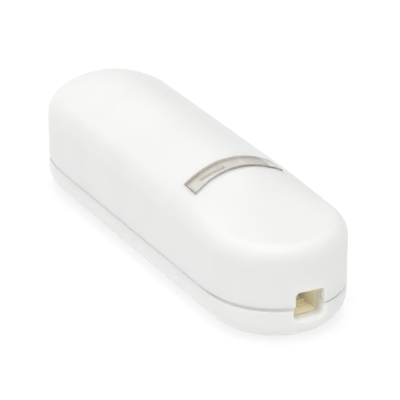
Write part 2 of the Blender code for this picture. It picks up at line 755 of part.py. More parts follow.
def make_terminal_block(end, direction):
    ends = sorted((direction * TERMINAL_FACE, direction * (TERMINAL_FACE - TERMINAL_LENGTH)))
    block = box("terminal_block_" + end, (ends[0], -TERMINAL_HALF_WIDTH, SEAT),
                (ends[1], TERMINAL_HALF_WIDTH, SEAT + TERMINAL_HEIGHT), grey_plastic())
    chamber_low = SEAT + CHAMBER_FLOOR
    chamber_high = SEAT + TERMINAL_HEIGHT - CHAMBER_ROOF
    cutters = []
    for _, x, y in pole_places(direction):
        cutters.append(box("chamber", (x - CHAMBER_LENGTH / 2, y - CHAMBER_WIDTH / 2, chamber_low),
                           (x + CHAMBER_LENGTH / 2, y + CHAMBER_WIDTH / 2, chamber_high), grey_plastic()))
        entry_ends = sorted((x, direction * (TERMINAL_FACE + OVERRUN)))
        entry_low = chamber_low + WIRE_ENTRY_LEDGE
        cutters.append(box("wire_entry", (entry_ends[0], y - WIRE_ENTRY_WIDTH / 2, entry_low),
                           (entry_ends[1], y + WIRE_ENTRY_WIDTH / 2, entry_low + WIRE_ENTRY_HEIGHT),
                           grey_plastic()))
        cutters.append(rod("screw_well", TERMINAL_HEAD_RADIUS + FIT_GAP, chamber_high - BITE,
                           SEAT + TERMINAL_HEIGHT + OVERRUN, (x, y, 0), grey_plastic(), 12))
        tail = x - direction * (CHAMBER_LENGTH / 2 - TONGUE_PLATE / 2 - FIT_GAP)
        half = TONGUE_PLATE / 2 + FIT_GAP
        cutters.append(box("tail_slot", (tail - half, y - TONGUE_WIDTH / 2 - FIT_GAP, SEAT - OVERRUN),
                           (tail + half, y + TONGUE_WIDTH / 2 + FIT_GAP, chamber_low + OVERRUN),
                           grey_plastic()))
    return cut(block, *cutters)


def make_terminal_contact(name, x, y, direction):
    """A strip bent to an L: the tongue inside the cage, and the tail down through the board."""
    high = tongue_top()
    low = high - TONGUE_PLATE
    tail = x - direction * (CHAMBER_LENGTH / 2 - TONGUE_PLATE / 2 - FIT_GAP)
    tail_low = BOARD_BOTTOM - LEAD_BELOW_BOARD
    board_holes.append((tail, y))
    half = TONGUE_PLATE / 2
    back = tail - direction * half
    front = x + direction * (CAGE_LENGTH / 2 + TONGUE_PAST_CAGE)
    profile = [(back, SEAT), (back, high), (front, high), (front, low), (tail + direction * half, low),
               (tail + direction * half, SEAT)]
    sides = [[(px, y + shift, pz) for px, pz in profile] for shift in (-TONGUE_WIDTH / 2, TONGUE_WIDTH / 2)]
    strip = loft("terminal_contact_" + name, sides, brass(), closed_ends=True)
    pin = rod("pin", LEAD_RADIUS, tail_low, SEAT + BITE, (tail, y, 0), brass(), 8)
    return join(strip, pin)


def make_terminal_cage(name, x, y):
    """A square ring round the tongue. Its screw lifts it, which presses the wire to the tongue."""
    low = cage_low()
    high = low + CAGE_HEIGHT
    half_y = CAGE_WIDTH / 2
    half_x = CAGE_LENGTH / 2
    cage = box("terminal_cage_" + name, (x - half_x, y - half_y, low), (x + half_x, y + half_y, high),
               brass())
    window = box("window", (x - half_x - OVERRUN, y - half_y + CAGE_SIDE, low + CAGE_BOTTOM_BAR),
                 (x + half_x + OVERRUN, y + half_y - CAGE_SIDE, high - CAGE_TOP_BAR), brass())
    thread = rod("thread", TERMINAL_SCREW_RADIUS + FIT_GAP, high - CAGE_TOP_BAR - BITE, high + OVERRUN,
                 (x, y, 0), brass(), 8)
    return set_origin(cut(cage, window, thread), (x, y, low))


def make_terminal_screw(name, x, y):
    head_face = SEAT + TERMINAL_HEIGHT - FIT_GAP
    length = head_face - tongue_top() - FIT_GAP
    screw = make_screw("terminal_screw_" + name, (x, y), TERMINAL_SCREW_RADIUS, TERMINAL_HEAD_RADIUS,
                       TERMINAL_HEAD_HEIGHT, head_face, length, False, "slot")
    return set_origin(screw, (x, y, head_face))


def make_terminal(end, direction):
    make_terminal_block(end, direction)
    for side, x, y in pole_places(direction):
        name = f"{end}_{side}"
        make_terminal_contact(name, x, y, direction)
        make_terminal_cage(name, x, y)
        make_terminal_screw(name, x, y)


# Relay -----------------------------------------------------------------------------------------


def make_relay():
    base_high = SEAT + RELAY_BASE_HEIGHT
    axis_z = base_high + COIL_ABOVE_BASE + FLANGE_HALF
    yoke_low = axis_z + FLANGE_HALF + YOKE_ABOVE_COIL
    yoke_high = yoke_low + YOKE_THICKNESS
    case_high = yoke_high + RELAY_HEADROOM + RELAY_WALL
    half_x = RELAY_LENGTH / 2
    half_y = RELAY_WIDTH / 2
    dark = material("relay_case_plastic", (0.05, 0.12, 0.30), 0.35)
    frame_plastic = material("relay_frame_plastic", (0.10, 0.10, 0.11), 0.5)

    case = box("relay_case", (RELAY_X - half_x, RELAY_Y - half_y, SEAT),
               (RELAY_X + half_x, RELAY_Y + half_y, case_high), dark)
    hollow = box("hollow", (RELAY_X - half_x + RELAY_WALL, RELAY_Y - half_y + RELAY_WALL, SEAT - OVERRUN),
                 (RELAY_X + half_x - RELAY_WALL, RELAY_Y + half_y - RELAY_WALL, case_high - RELAY_WALL), dark)
    cut(case, hollow)

    inner_x = half_x - RELAY_WALL - FIT_GAP
    inner_y = half_y - RELAY_WALL - FIT_GAP
    base = box("relay_base", (RELAY_X - inner_x, RELAY_Y - inner_y, SEAT),
               (RELAY_X + inner_x, RELAY_Y + inner_y, base_high), frame_plastic)
    pin_x = inner_x - RELAY_PIN_INSET
    pin_y = inner_y - RELAY_PIN_INSET
    pins = [(RELAY_X + sx * pin_x, RELAY_Y + sy * pin_y) for sx in (1, -1) for sy in (1, -1)]
    with_leads(base, pins, brass())

    hub_bore = CORE_RADIUS + FIT_GAP
    hub_outer = hub_bore + HUB_THICKNESS
    centre = (RELAY_X, RELAY_Y, axis_z)
    half_flange = FLANGE_THICKNESS / 2
    bobbin = rod("relay_bobbin", hub_outer, COIL_BACK + half_flange, COIL_FRONT - half_flange, centre,
                 frame_plastic, 12, "X")
    flanges = []
    for start in (COIL_BACK, COIL_FRONT - FLANGE_THICKNESS):
        flanges.append(box("flange", (RELAY_X + start, RELAY_Y - FLANGE_HALF, axis_z - FLANGE_HALF),
                           (RELAY_X + start + FLANGE_THICKNESS, RELAY_Y + FLANGE_HALF, axis_z + FLANGE_HALF),
                           frame_plastic))
    join(bobbin, *flanges)
    cut(bobbin, rod("bore", hub_bore, COIL_BACK - OVERRUN, COIL_FRONT + OVERRUN, centre, frame_plastic,
                    12, "X"))

    wound_back = COIL_BACK + FLANGE_THICKNESS + FIT_GAP
    wound_front = COIL_FRONT - FLANGE_THICKNESS - FIT_GAP
    winding = rod("relay_coil", WINDING_RADIUS, wound_back, wound_front, centre, copper(), 16, "X")
    cut(winding, rod("bore", hub_outer + FIT_GAP, wound_back - OVERRUN, wound_front + OVERRUN, centre,
                     copper(), 16, "X"))
    smooth(winding)

    pole = COIL_FRONT + CORE_PAST_FLANGE
    smooth(rod("relay_core", CORE_RADIUS, COIL_BACK - FIT_GAP, pole, centre, steel(), 12, "X"))

    yoke_back = COIL_BACK - 2 * FIT_GAP
    pivot_x = pole + ARMATURE_GAP
    yoke_front = pivot_x - YOKE_SHORT
    profile = [(yoke_back, base_high + FIT_GAP), (yoke_back, yoke_low), (yoke_front, yoke_low),
               (yoke_front, yoke_high), (yoke_back - YOKE_THICKNESS, yoke_high),
               (yoke_back - YOKE_THICKNESS, base_high + FIT_GAP)]
    sides = [[(RELAY_X + x, RELAY_Y + y, z) for x, z in profile] for y in (-YOKE_HALF_WIDTH, YOKE_HALF_WIDTH)]
    loft("relay_yoke", sides, steel(), closed_ends=True)

    pivot = (RELAY_X + pivot_x, RELAY_Y, yoke_high)
    armature_half = YOKE_HALF_WIDTH - ARMATURE_SET_IN
    armature = box("relay_armature", (pivot[0], RELAY_Y - armature_half, yoke_high - ARMATURE_DROP),
                   (pivot[0] + ARMATURE_THICKNESS, RELAY_Y + armature_half, yoke_high), steel())
    set_origin(armature, pivot)

    blade_x = pivot[0] + ARMATURE_THICKNESS + FIT_GAP
    blade_low = yoke_high - BLADE_DROP
    contact_z = blade_low + CONTACT_RADIUS
    button_face = pivot[0] + BUTTON_IN_FRONT
    blade_half = CONTACT_RADIUS + BLADE_PAST_CONTACT
    blade = box("relay_moving_contact", (blade_x, RELAY_Y - blade_half, blade_low),
                (blade_x + BLADE_THICKNESS, RELAY_Y + blade_half, yoke_high - BLADE_TOP_DROP), copper())
    join(blade, rod("button", CONTACT_RADIUS, button_face, blade_x + BLADE_THICKNESS / 3,
                    (0, RELAY_Y, contact_z), copper(), 12, "X"))
    set_origin(blade, pivot)

    fixed_face = button_face - CONTACT_GAP
    strip_x = fixed_face - FIXED_BUTTON
    strip = box("relay_fixed_contact", (strip_x - FIXED_STRIP, RELAY_Y - blade_half, base_high + FIT_GAP),
                (strip_x, RELAY_Y + blade_half, contact_z + CONTACT_RADIUS), copper())
    join(strip, rod("button", CONTACT_RADIUS, strip_x - FIXED_STRIP / 4, fixed_face,
                    (0, RELAY_Y, contact_z), copper(), 12, "X"))


# Board and the parts on it ---------------------------------------------------------------------


def make_touch_spring():
    """A coil spring that carries the touch signal from the board up to the electrode."""
    low = SEAT + SPRING_WIRE
    high = ceiling(SPRING_X + SPRING_RADIUS, 0.0) - ELECTRODE_THICKNESS - 2 * FIT_GAP - 2 * SPRING_WIRE
    steps = SPRING_STEPS
    curve = bpy.data.curves.new("touch_spring", "CURVE")
    curve.dimensions = "3D"
    curve.bevel_depth = SPRING_WIRE
    curve.bevel_resolution = 1
    curve.use_fill_caps = True
    spline = curve.splines.new("POLY")
    count = SPRING_TURNS * steps + 1
    spline.points.add(count - 1)
    for i in range(count):
        turn = math.tau * i / steps
        share = min(max((i - steps / 2) / (count - 1 - steps), 0.0), 1.0)
        x = SPRING_X + SPRING_RADIUS * math.cos(turn)
        y = SPRING_RADIUS * math.sin(turn)
        spline.points[i].co = (x, y, low + share * (high - low), 1.0)
    curve.materials.append(steel())
    spring = bpy.data.objects.new("touch_spring", curve)
    bpy.context.scene.collection.objects.link(spring)
    return spring


def make_touch_electrode():
    """A copper disc that follows the underside of the dish."""
    rings = []
    for radius, drop in (
        (0.0, FIT_GAP),
        (0.5, FIT_GAP),
        (1.0, FIT_GAP),
        (1.0, FIT_GAP + ELECTRODE_THICKNESS),
        (0.5, FIT_GAP + ELECTRODE_THICKNESS),
        (0.0, FIT_GAP + ELECTRODE_THICKNESS),
    ):
        ring = []
        for i in range(ELECTRODE_STEPS):
            turn = math.tau * i / ELECTRODE_STEPS
            x = SPRING_X + radius * ELECTRODE_RADIUS * math.cos(turn)
            y = radius * ELECTRODE_RADIUS * math.sin(turn)
            ring.append((x, y, ceiling(x, y) - drop))
        rings.append(ring)
    return smooth(loft("touch_electrode", rings, copper()))


def make_block_part(name, centre, size, colour, leads):
    """A moulded or boxed electronic part standing on the board."""
    x, y = centre
    length, width, height = size
    finish = material(name + "_body", colour, 0.45)
    body = box(name, (x - length / 2, y - width / 2, SEAT), (x + length / 2, y + width / 2, SEAT + height),
               finish)
    return with_leads(body, [(x + dx, y + dy) for dx, dy in leads], steel())


def make_can_part(name, centre, radius, height, colour, leads):
    x, y = centre
    finish = material(name + "_can", colour, 0.4)
    profile = [(0.0, SEAT), (radius, SEAT), (radius, SEAT + height - CAN_EDGE),
               (radius - CAN_EDGE, SEAT + height), (0.0, SEAT + height)]
    can = turned(name, profile, (x, y, 0), finish, 16)
    return smooth(with_leads(can, [(x + dx, y + dy) for dx, dy in leads], steel()))


def make_control_chip():
    """An eight-legged control chip, soldered flat on the board."""
    x = SMALL_PARTS_X
    half_x = CHIP_LENGTH / 2
    half_y = CHIP_WIDTH / 2
    half_leg = CHIP_LEG_WIDTH / 2
    chip = box("control_chip", (x - half_x, CHIP_Y - half_y, SEAT),
               (x + half_x, CHIP_Y + half_y, SEAT + CHIP_HEIGHT),
               material("control_chip_body", (0.03, 0.03, 0.03), 0.5))
    legs = []
    for i in range(4):
        leg_x = x + (i - 1.5) * CHIP_PITCH
        legs.append(box("legs", (leg_x - half_leg, CHIP_Y - CHIP_LEG_REACH, SEAT + CHIP_LEG_LOW),
                        (leg_x + half_leg, CHIP_Y + CHIP_LEG_REACH, SEAT + CHIP_LEG_HIGH), steel()))
    return join(chip, *legs)


def make_dropper_resistor():
    """An axial resistor lying along X, with its leads bent down."""
    x = SMALL_PARTS_X + RESISTOR_SHIFT
    z = SEAT + RESISTOR_ABOVE_SEAT
    face = (RESISTOR_END_RADIUS + RESISTOR_WAIST_RADIUS) / 2
    half = RESISTOR_HALF_LENGTH
    right = [(RESISTOR_WAIST_RADIUS, half / 2), (RESISTOR_END_RADIUS, 0.75 * half), (face, half), (0.0, half)]
    left = [(radius, -along) for radius, along in reversed(right)]
    body = turned("dropper_resistor", left + right, (x, RESISTOR_Y, z),
                  material("resistor_lacquer", (0.55, 0.40, 0.22), 0.35), 10, "X")
    reach = RESISTOR_LEAD_REACH + LEAD_RADIUS
    wire = rod("wire", LEAD_RADIUS, -reach, reach, (x, RESISTOR_Y, z), steel(), 8, "X")
    tails = []
    for side in (1, -1):
        tail_x = x + side * RESISTOR_LEAD_REACH
        board_holes.append((tail_x, RESISTOR_Y))
        tails.append(rod("tail", LEAD_RADIUS, BOARD_BOTTOM - LEAD_BELOW_BOARD, z, (tail_x, RESISTOR_Y, 0),
                         steel(), 8))
    return smooth(join(body, wire, *tails))


def make_varistor():
    """A coated disc on edge, with two leads."""
    x, y = VARISTOR_PLACE
    radius = VARISTOR_RADIUS
    edge = VARISTOR_EDGE
    half = VARISTOR_HALF_THICKNESS
    disc = turned("varistor",
                  [(0.0, -half), (radius - edge, -half), (radius, -half + edge), (radius, half - edge),
                   (radius - edge, half), (0.0, half)],
                  (x, y, SEAT + radius), material("varistor_coating", (0.10, 0.20, 0.42), 0.5), 16, "X")
    leads = []
    for side in (1, -1):
        place = (x, y + side * VARISTOR_LEAD_REACH)
        board_holes.append(place)
        leads.append(rod("lead", LEAD_RADIUS, BOARD_BOTTOM - LEAD_BELOW_BOARD, SEAT + radius, (*place, 0),
                         steel(), 8))
    return smooth(join(disc, *leads))


def make_board_parts():
    def pair(reach):
        return [(-reach, 0.0), (reach, 0.0)]

    make_block_part("filter_capacitor", FILTER_PLACE, FILTER_SIZE, (0.75, 0.60, 0.12),
                    pair(FILTER_LEAD_REACH))
    make_varistor()
    make_can_part("smoothing_capacitor", SMOOTHING_PLACE, SMOOTHING_RADIUS, SMOOTHING_HEIGHT,
                  (0.06, 0.07, 0.10), pair(SMOOTHING_LEAD_REACH))
    make_can_part("fuse", FUSE_PLACE, FUSE_RADIUS, FUSE_HEIGHT, (0.18, 0.16, 0.14), pair(FUSE_LEAD_REACH))
    reach_x, reach_y = RECTIFIER_LEADS
    corners = [(sx * reach_x, sy * reach_y) for sx in (-1, 1) for sy in (-1, 1)]
    make_block_part("bridge_rectifier", (SMALL_PARTS_X, RECTIFIER_Y), RECTIFIER_SIZE,
                    (0.04, 0.04, 0.045), corners)
    make_control_chip()
    make_dropper_resistor()
    half_x = LED_LENGTH / 2
    half_y = LED_WIDTH / 2
    box("indicator_led", (LENS_LEG_X - half_x, -half_y, SEAT),
        (LENS_LEG_X + half_x, half_y, SEAT + LED_HEIGHT),
        material("indicator_led_body", (0.85, 0.84, 0.78), 0.4))


def make_circuit_board():
    """The board, made last, because the parts on it have by then noted where their leads pass."""
    long_side = BOARD_HALF_LENGTH
    short_side = BOARD_HALF_WIDTH
    corner = BOARD_CORNER
    plan = [
        (long_side, short_side - corner),
        (long_side - corner, short_side),
        (-long_side + corner, short_side),
        (-long_side, short_side - corner),
        (-long_side, -short_side + corner),
        (-long_side + corner, -short_side),
        (long_side - corner, -short_side),
        (long_side, -short_side + corner),
    ]
    green = material("board_laminate", (0.05, 0.28, 0.14), 0.4)
    board = loft("circuit_board", [[(x, y, z) for x, y in plan] for z in (BOARD_BOTTOM, BOARD_TOP)], green,
                 closed_ends=True)
    low = BOARD_BOTTOM - OVERRUN
    high = BOARD_TOP + OVERRUN
    holes = [rod("hole", LEAD_RADIUS + FIT_GAP, low, high, (x, y, 0), green, 8) for x, y in board_holes]
    holes += [rod("hole", SCREW_RADIUS + FIT_GAP, low, high, (x, y, 0), green, 12)
              for x, y in pillar_places()]
    return cut(board, *holes)


def main():
    clear_scene()
    make_base_shell()
    make_upper_shell()
    make_light_guide()
    make_housing_screws()
    both_ends(make_cord_grip)
    both_ends(make_terminal)
    make_relay()
    make_touch_spring()
    make_touch_electrode()
    make_board_parts()
    make_circuit_board()


main()
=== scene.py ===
"""Finished pieces, finishes and stage of an inline touch switch for a lamp cord.

Metres, +Z up. The origin is on the resting face, in the middle of the plan. The cord would run along X,
and "near" is the +X end, with the finger dish. Every finished piece keeps its place in its mesh.
"""

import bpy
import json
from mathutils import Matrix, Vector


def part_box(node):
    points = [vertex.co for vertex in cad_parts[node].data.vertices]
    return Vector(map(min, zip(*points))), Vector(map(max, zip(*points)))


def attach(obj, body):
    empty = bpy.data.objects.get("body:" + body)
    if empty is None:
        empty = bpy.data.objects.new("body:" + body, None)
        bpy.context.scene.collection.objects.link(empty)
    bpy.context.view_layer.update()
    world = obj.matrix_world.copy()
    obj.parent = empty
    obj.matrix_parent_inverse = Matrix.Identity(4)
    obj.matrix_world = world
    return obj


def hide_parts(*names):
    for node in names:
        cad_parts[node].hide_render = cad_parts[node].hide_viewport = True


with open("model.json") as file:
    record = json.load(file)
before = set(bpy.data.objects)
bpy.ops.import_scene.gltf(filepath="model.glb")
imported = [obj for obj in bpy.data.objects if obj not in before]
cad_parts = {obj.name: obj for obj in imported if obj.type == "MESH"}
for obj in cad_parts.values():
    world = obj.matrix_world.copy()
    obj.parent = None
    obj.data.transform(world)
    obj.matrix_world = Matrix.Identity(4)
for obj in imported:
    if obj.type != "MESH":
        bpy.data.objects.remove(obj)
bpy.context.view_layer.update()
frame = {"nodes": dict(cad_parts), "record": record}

import json
import math

import bmesh
import bpy
from mathutils import Matrix, Vector

bl_info = {
    "name": "Inline touch switch",
    "version": (1, 0, 0),
    "blender": (4, 5, 0),
    "location": "View3D > Sidebar > Switch",
    "description": "Builds the finished pieces of an inline touch switch over its packed frame",
    "category": "Add Mesh",
}

MM = 0.001
BODIES = frame["record"]["behaviour"]["bodies"]
BODY_OF_NODE = {node: body for body, nodes in BODIES.items() for node in nodes}

# Housing, as in the frame
SHELL_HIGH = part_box("upper_shell")[1]
HALF_LENGTH = SHELL_HIGH.x
HALF_WIDTH = SHELL_HIGH.y
BODY_HEIGHT = SHELL_HIGH.z
CAP_X = HALF_LENGTH - HALF_WIDTH
SEAM_HEIGHT = 7.5 * MM
BOTTOM_ROUND = 5.8 * MM
TOP_ROUND = 3.0 * MM
CROWN_RISE = 5.8 * MM
WALL_TOP = BODY_HEIGHT - CROWN_RISE - TOP_ROUND
SHELL_WALL = 1.6 * MM
ROOF_THICKNESS = 2.2 * MM
FLOOR_THICKNESS = 2.0 * MM
TONGUE_OUTER = 1.9 * MM
BASE_WALL = 2.8 * MM
TONGUE_TOP = 9.2 * MM
LAP_INSET = 0.5 * MM
RIM_END_GAP = 0.75 * MM
RIM_STEP_X = 32.0 * MM
RIM_STEP_RUN = 6.0 * MM

# Light guide window: a band between two arcs, each given by its middle and its radius
LENS_BACK = 16.1 * MM  # where the top starts to fall towards the dish
LENS_REAR_X = 15.75 * MM
LENS_REAR_RADIUS = 82.0 * MM
LENS_REAR_SHIFT = 4.0 * MM
LENS_FRONT_X = 20.6 * MM
LENS_FRONT_RADIUS = 40.5 * MM
LENS_RIGHT_Y = -10.8 * MM
LENS_LEFT_Y = 9.8 * MM
LENS_STEP = 0.09
LENS_GAP = 0.02 * MM
# Painted shade: a darker tone along the light guide's rear edge, where the window's rear wall shades it
REAR_BAND_PAINTED_SHADE = (0.78, 0.745, 0.7)

# Light box under the clear skin
GROOVE_X = 18.4 * MM
GROOVE_Y = -4.7 * MM
# Painted shade: a near-black brown for the groove in the light box, where the recess lies in shade
GROOVE_PAINTED_SHADE = (0.1, 0.065, 0.04)
FIRST_RIB_Y = -2.0 * MM
SECOND_RIB_Y = 2.5 * MM
RIB_HALF = 0.22 * MM

# Finger ramp and dish
RAMP_START = 21.6 * MM
RAMP_END = 46.0 * MM
RAMP_REST_CROWN = 0.12
RAMP_CURVE = 1.25
DISH_X = 34.2 * MM
DISH_DEPTH = 0.35 * MM
DISH_LENGTH = 6.0 * MM
DISH_WIDTH = 6.5 * MM

# Cord entries, pillars and posts
ENTRY_HALF = 3.3 * MM
ENTRY_BOTTOM = 5.2 * MM
ENTRY_TOP = 11.4 * MM
ENTRY_ROUND = 1.0 * MM
PILLAR_X = 27.0 * MM
PILLAR_Y = 8.2 * MM
GRIP_X = 41.5 * MM
GRIP_SCREW_Y = 6.2 * MM
BOARD_TOP = 5.6 * MM
BOARD_BOTTOM = 4.0 * MM
SEAT = 5.9 * MM

ENDS = (("near", 1), ("far", -1))
SIDES = (("left", 1), ("right", -1))
PILLARS = [(sx * PILLAR_X, sy * PILLAR_Y) for sx in (1, -1) for sy in (1, -1)]
POSTS = [(sx * GRIP_X, sy * GRIP_SCREW_Y) for sx in (1, -1) for sy in (1, -1)]


# Settings a user would change ------------------------------------------------------------------


class HousingSettings(bpy.types.PropertyGroup):
    colour: bpy.props.FloatVectorProperty(
        name="Colour", description="Colour of the two shells", default=(0.77, 0.77, 0.757),
        subtype="COLOR", size=3, min=0.0, max=1.0)
    roughness: bpy.props.FloatProperty(
        name="Roughness", description="How dull the moulding is", default=0.36, min=0.0, max=1.0)
    seam_gap: bpy.props.FloatProperty(
        name="Seam gap", description="Height of the gap between the shells", default=0.12 * MM,
        unit="LENGTH", subtype="DISTANCE")
    rim_round: bpy.props.FloatProperty(
        name="Rim round", description="Radius along both edges of the seam", default=0.12 * MM,
        unit="LENGTH", subtype="DISTANCE")
    entry_round: bpy.props.FloatProperty(
        name="Entry round", description="Radius round the mouth of a cord entry, upper half",
        default=0.12 * MM,
        unit="LENGTH", subtype="DISTANCE")
    entry_scoop: bpy.props.FloatProperty(
        name="Entry scoop", description="Radius round the mouth of a cord entry, lower half",
        default=1.0 * MM, unit="LENGTH", subtype="DISTANCE")
    window_round: bpy.props.FloatProperty(
        name="Window round", description="Radius along the edge of the light guide's window",
        default=0.12 * MM, unit="LENGTH", subtype="DISTANCE")


class LightGuideSettings(bpy.types.PropertyGroup):
    colour: bpy.props.FloatVectorProperty(
        name="Colour", description="Tint of the clear moulding", default=(0.975, 0.96, 0.935),
        subtype="COLOR", size=3, min=0.0, max=1.0)
    backing: bpy.props.FloatVectorProperty(
        name="Backing colour", description="Colour of the light box under the clear moulding",
        default=(0.95, 0.9, 0.845), subtype="COLOR", size=3, min=0.0, max=1.0)
    # Painted glow: the light box is no lamp; this emission stands in for light coming through it from inside
    # the housing
    box_glow: bpy.props.FloatProperty(
        name="Box glow", description="Light that comes through the light box from inside the housing",
        default=0.11, min=0.0)
    skin: bpy.props.FloatProperty(
        name="Skin", description="Thickness of the clear skin over the light box", default=1.3 * MM,
        unit="LENGTH", subtype="DISTANCE")


class FixingSettings(bpy.types.PropertyGroup):
    thread_depth: bpy.props.FloatProperty(
        name="Thread depth", description="How far a thread stands out of its shank", default=0.14 * MM,
        unit="LENGTH", subtype="DISTANCE")
    fine_pitch: bpy.props.FloatProperty(
        name="Fine pitch", description="Pitch of the terminal screws", default=0.5 * MM,
        unit="LENGTH", subtype="DISTANCE")
    coarse_pitch: bpy.props.FloatProperty(
        name="Coarse pitch", description="Pitch of the screws that bite into plastic", default=0.7 * MM,
        unit="LENGTH", subtype="DISTANCE")


class BoardSettings(bpy.types.PropertyGroup):
    mask_colour: bpy.props.FloatVectorProperty(
        name="Solder mask", description="Colour of the solder mask", default=(0.018, 0.16, 0.07),
        subtype="COLOR", size=3, min=0.0, max=1.0)
    track_width: bpy.props.FloatProperty(
        name="Track width", description="Width of a mains track under the solder mask", default=0.9 * MM,
        unit="LENGTH", subtype="DISTANCE")
    pad_radius: bpy.props.FloatProperty(
        name="Pad radius", description="Outer radius of a soldered pad", default=1.0 * MM,
        unit="LENGTH", subtype="DISTANCE")
    coil_wire: bpy.props.FloatProperty(
        name="Coil wire", description="Diameter of the relay coil's wire", default=0.2 * MM,
        unit="LENGTH", subtype="DISTANCE")
    spring_wire: bpy.props.FloatProperty(
        name="Spring wire", description="Diameter of the touch spring's wire", default=0.6 * MM,
        unit="LENGTH", subtype="DISTANCE")


class StageSettings(bpy.types.PropertyGroup):
    floor_colour: bpy.props.FloatVectorProperty(
        name="Floor colour", description="Colour of the floor", default=(0.35, 0.35, 0.35),
        subtype="COLOR", size=3, min=0.0, max=1.0)
    floor_glow: bpy.props.FloatProperty(
        name="Floor glow", description="How far the floor is lit from within, as a light table is",
        default=0.64, min=0.0)
    sky_strength: bpy.props.FloatProperty(
        name="Sky", description="Strength of the soft light from all round", default=1.03, min=0.0)
    key_power: bpy.props.FloatProperty(
        name="Key light", description="Power of the soft light above the near end", default=1.25,
        unit="POWER", min=0.0)
    top_power: bpy.props.FloatProperty(
        name="Top light", description="Power of the soft light overhead", default=1.55, unit="POWER", min=0.0)
    entry_power: bpy.props.FloatProperty(
        name="Entry light", default=0.00027, unit="POWER", min=0.0,
        description="Power of the warm light in each cord entry, for what the white walls let through")


# Surfaces of the housing -----------------------------------------------------------------------


def ease(t):
    t = min(max(t, 0.0), 1.0)
    return t * t * (3 - 2 * t)


def inset_at(x, y):
    """How far inside the plan's edge a point is. The plan is two half circles and a straight run."""
    return HALF_WIDTH - math.hypot(max(abs(x) - CAP_X, 0.0), y)


def crown_share(x):
    """The share of the full crown left at x: all of it behind the light guide, little at the tip."""
    if x <= RAMP_START:
        return 1.0 - LENS_STEP * ease((x - LENS_BACK) / (RAMP_START - LENS_BACK))
    t = min((x - RAMP_START) / (RAMP_END - RAMP_START), 1.0)
    return RAMP_REST_CROWN + (1.0 - LENS_STEP - RAMP_REST_CROWN) * (1.0 - t) ** RAMP_CURVE


def edge_rise(inset):
    left = TOP_ROUND - min(max(inset, 0.0), TOP_ROUND)
    return math.sqrt(max(TOP_ROUND**2 - left**2, 0.0))


def crown(x, y, share):
    inset = min(max(inset_at(x, y), 0.0), HALF_WIDTH)
    arch = 1.0 - (1.0 - inset / HALF_WIDTH) ** 2
    return WALL_TOP + edge_rise(inset) + CROWN_RISE * arch * share


def full_crown(x, y):
    return crown(x, y, 1.0)


def top_face(x, y):
    inset = min(max(inset_at(x, y), 0.0), HALF_WIDTH)
    dish = DISH_DEPTH * math.exp(-(((x - DISH_X) / DISH_LENGTH) ** 2) - (y / DISH_WIDTH) ** 2)
    return crown(x, y, crown_share(x)) - dish * ease(inset / TOP_ROUND)


def ceiling(x, y):
    return top_face(x, y) - ROOF_THICKNESS


def quarter(radius, steps):
    """(in, down) pairs round a convex edge, from the side face to the top face."""
    turns = [math.radians(90.0) * i / steps for i in range(steps + 1)]
    return [(radius * (1 - math.cos(turn)), radius * (1 - math.sin(turn))) for turn in turns]


# Mesh helpers ----------------------------------------------------------------------------------


def new_object(name, mesh):
    obj = bpy.data.objects.new(name, mesh)
    bpy.context.scene.collection.objects.link(obj)
    return obj


def from_bmesh(name, shape, turn_out=True):
    bmesh.ops.remove_doubles(shape, verts=shape.verts, dist=0.0005 * MM)
    bmesh.ops.dissolve_degenerate(shape, edges=shape.edges, dist=0.0005 * MM)
    if turn_out:
        bmesh.ops.recalc_face_normals(shape, faces=shape.faces)
    mesh = bpy.data.meshes.new(name)
    shape.to_mesh(mesh)
    shape.free()
    return new_object(name, mesh)


def loft(name, rings, capped=False):
    """A skin over rings of equally many points. A ring drawn to a line or a point closes the skin."""
    shape = bmesh.new()
    rows = [[shape.verts.new(point) for point in ring] for ring in rings]
    count = len(rows[0])
    for row, following in zip(rows, rows[1:]):
        for i in range(count):
            j = (i + 1) % count
            shape.faces.new((row[i], row[j], following[j], following[i]))
    if capped:
        shape.faces.new(rows[0])
        shape.faces.new(rows[-1])
    return from_bmesh(name, shape)


def lathe(name, profile, centre, segments=48, axis="Z"):
    """A body of revolution from (radius, height) points that start and end on the axis."""
    rings = []
    for radius, height in profile:
        turns = [math.tau * i / segments for i in range(segments)]
        rings.append([Vector((radius * math.cos(t), radius * math.sin(t), height)) for t in turns])
    obj = loft(name, rings)
    if axis == "X":
        obj.data.transform(Matrix.Rotation(math.radians(90.0), 4, "Y"))
    obj.data.transform(Matrix.Translation(Vector(centre)))
    return obj


def rod(name, radius, low, high, centre, segments=48, axis="Z"):
    return lathe(name, [(0.0, low), (radius, low), (radius, high), (0.0, high)], centre, segments, axis)


def block(name, low, high):
    shape = bmesh.new()
    bmesh.ops.create_cube(shape, size=1.0)
    for vert in shape.verts:
        vert.co = Vector(low[i] + (vert.co[i] + 0.5) * (high[i] - low[i]) for i in range(3))
    return from_bmesh(name, shape)


def evaluated_mesh(obj):
    bpy.context.view_layer.update()
    graph = bpy.context.evaluated_depsgraph_get()
    return bpy.data.meshes.new_from_object(obj.evaluated_get(graph))


def settle(obj):
    """Applies every modifier of the object."""
    mesh = evaluated_mesh(obj)
    obj.modifiers.clear()
    old = obj.data
    obj.data = mesh
    if old.users == 0:
        bpy.data.meshes.remove(old)
    return obj


def drop(obj):
    mesh = obj.data
    bpy.data.objects.remove(obj)
    if mesh.users == 0:
        bpy.data.meshes.remove(mesh)


def combine(target, tools, operation):
    for tool in tools:
        step = target.modifiers.new(operation.title(), "BOOLEAN")
        step.operation = operation
        step.solver = "EXACT"
        step.object = tool
    settle(target)
    for tool in tools:
        drop(tool)
    return target


def round_edges(obj, width, segments=2, angle=30.0):
    """Softens the edges of an object, and shades it smooth with its flat faces kept flat."""
    bevel = obj.modifiers.new("Bevel", "BEVEL")
    bevel.width = width
    bevel.segments = segments
    bevel.limit_method = "ANGLE"
    bevel.angle_limit = math.radians(angle)
    bevel.use_clamp_overlap = True
    settle(obj)
    return shade(obj, 50.0)


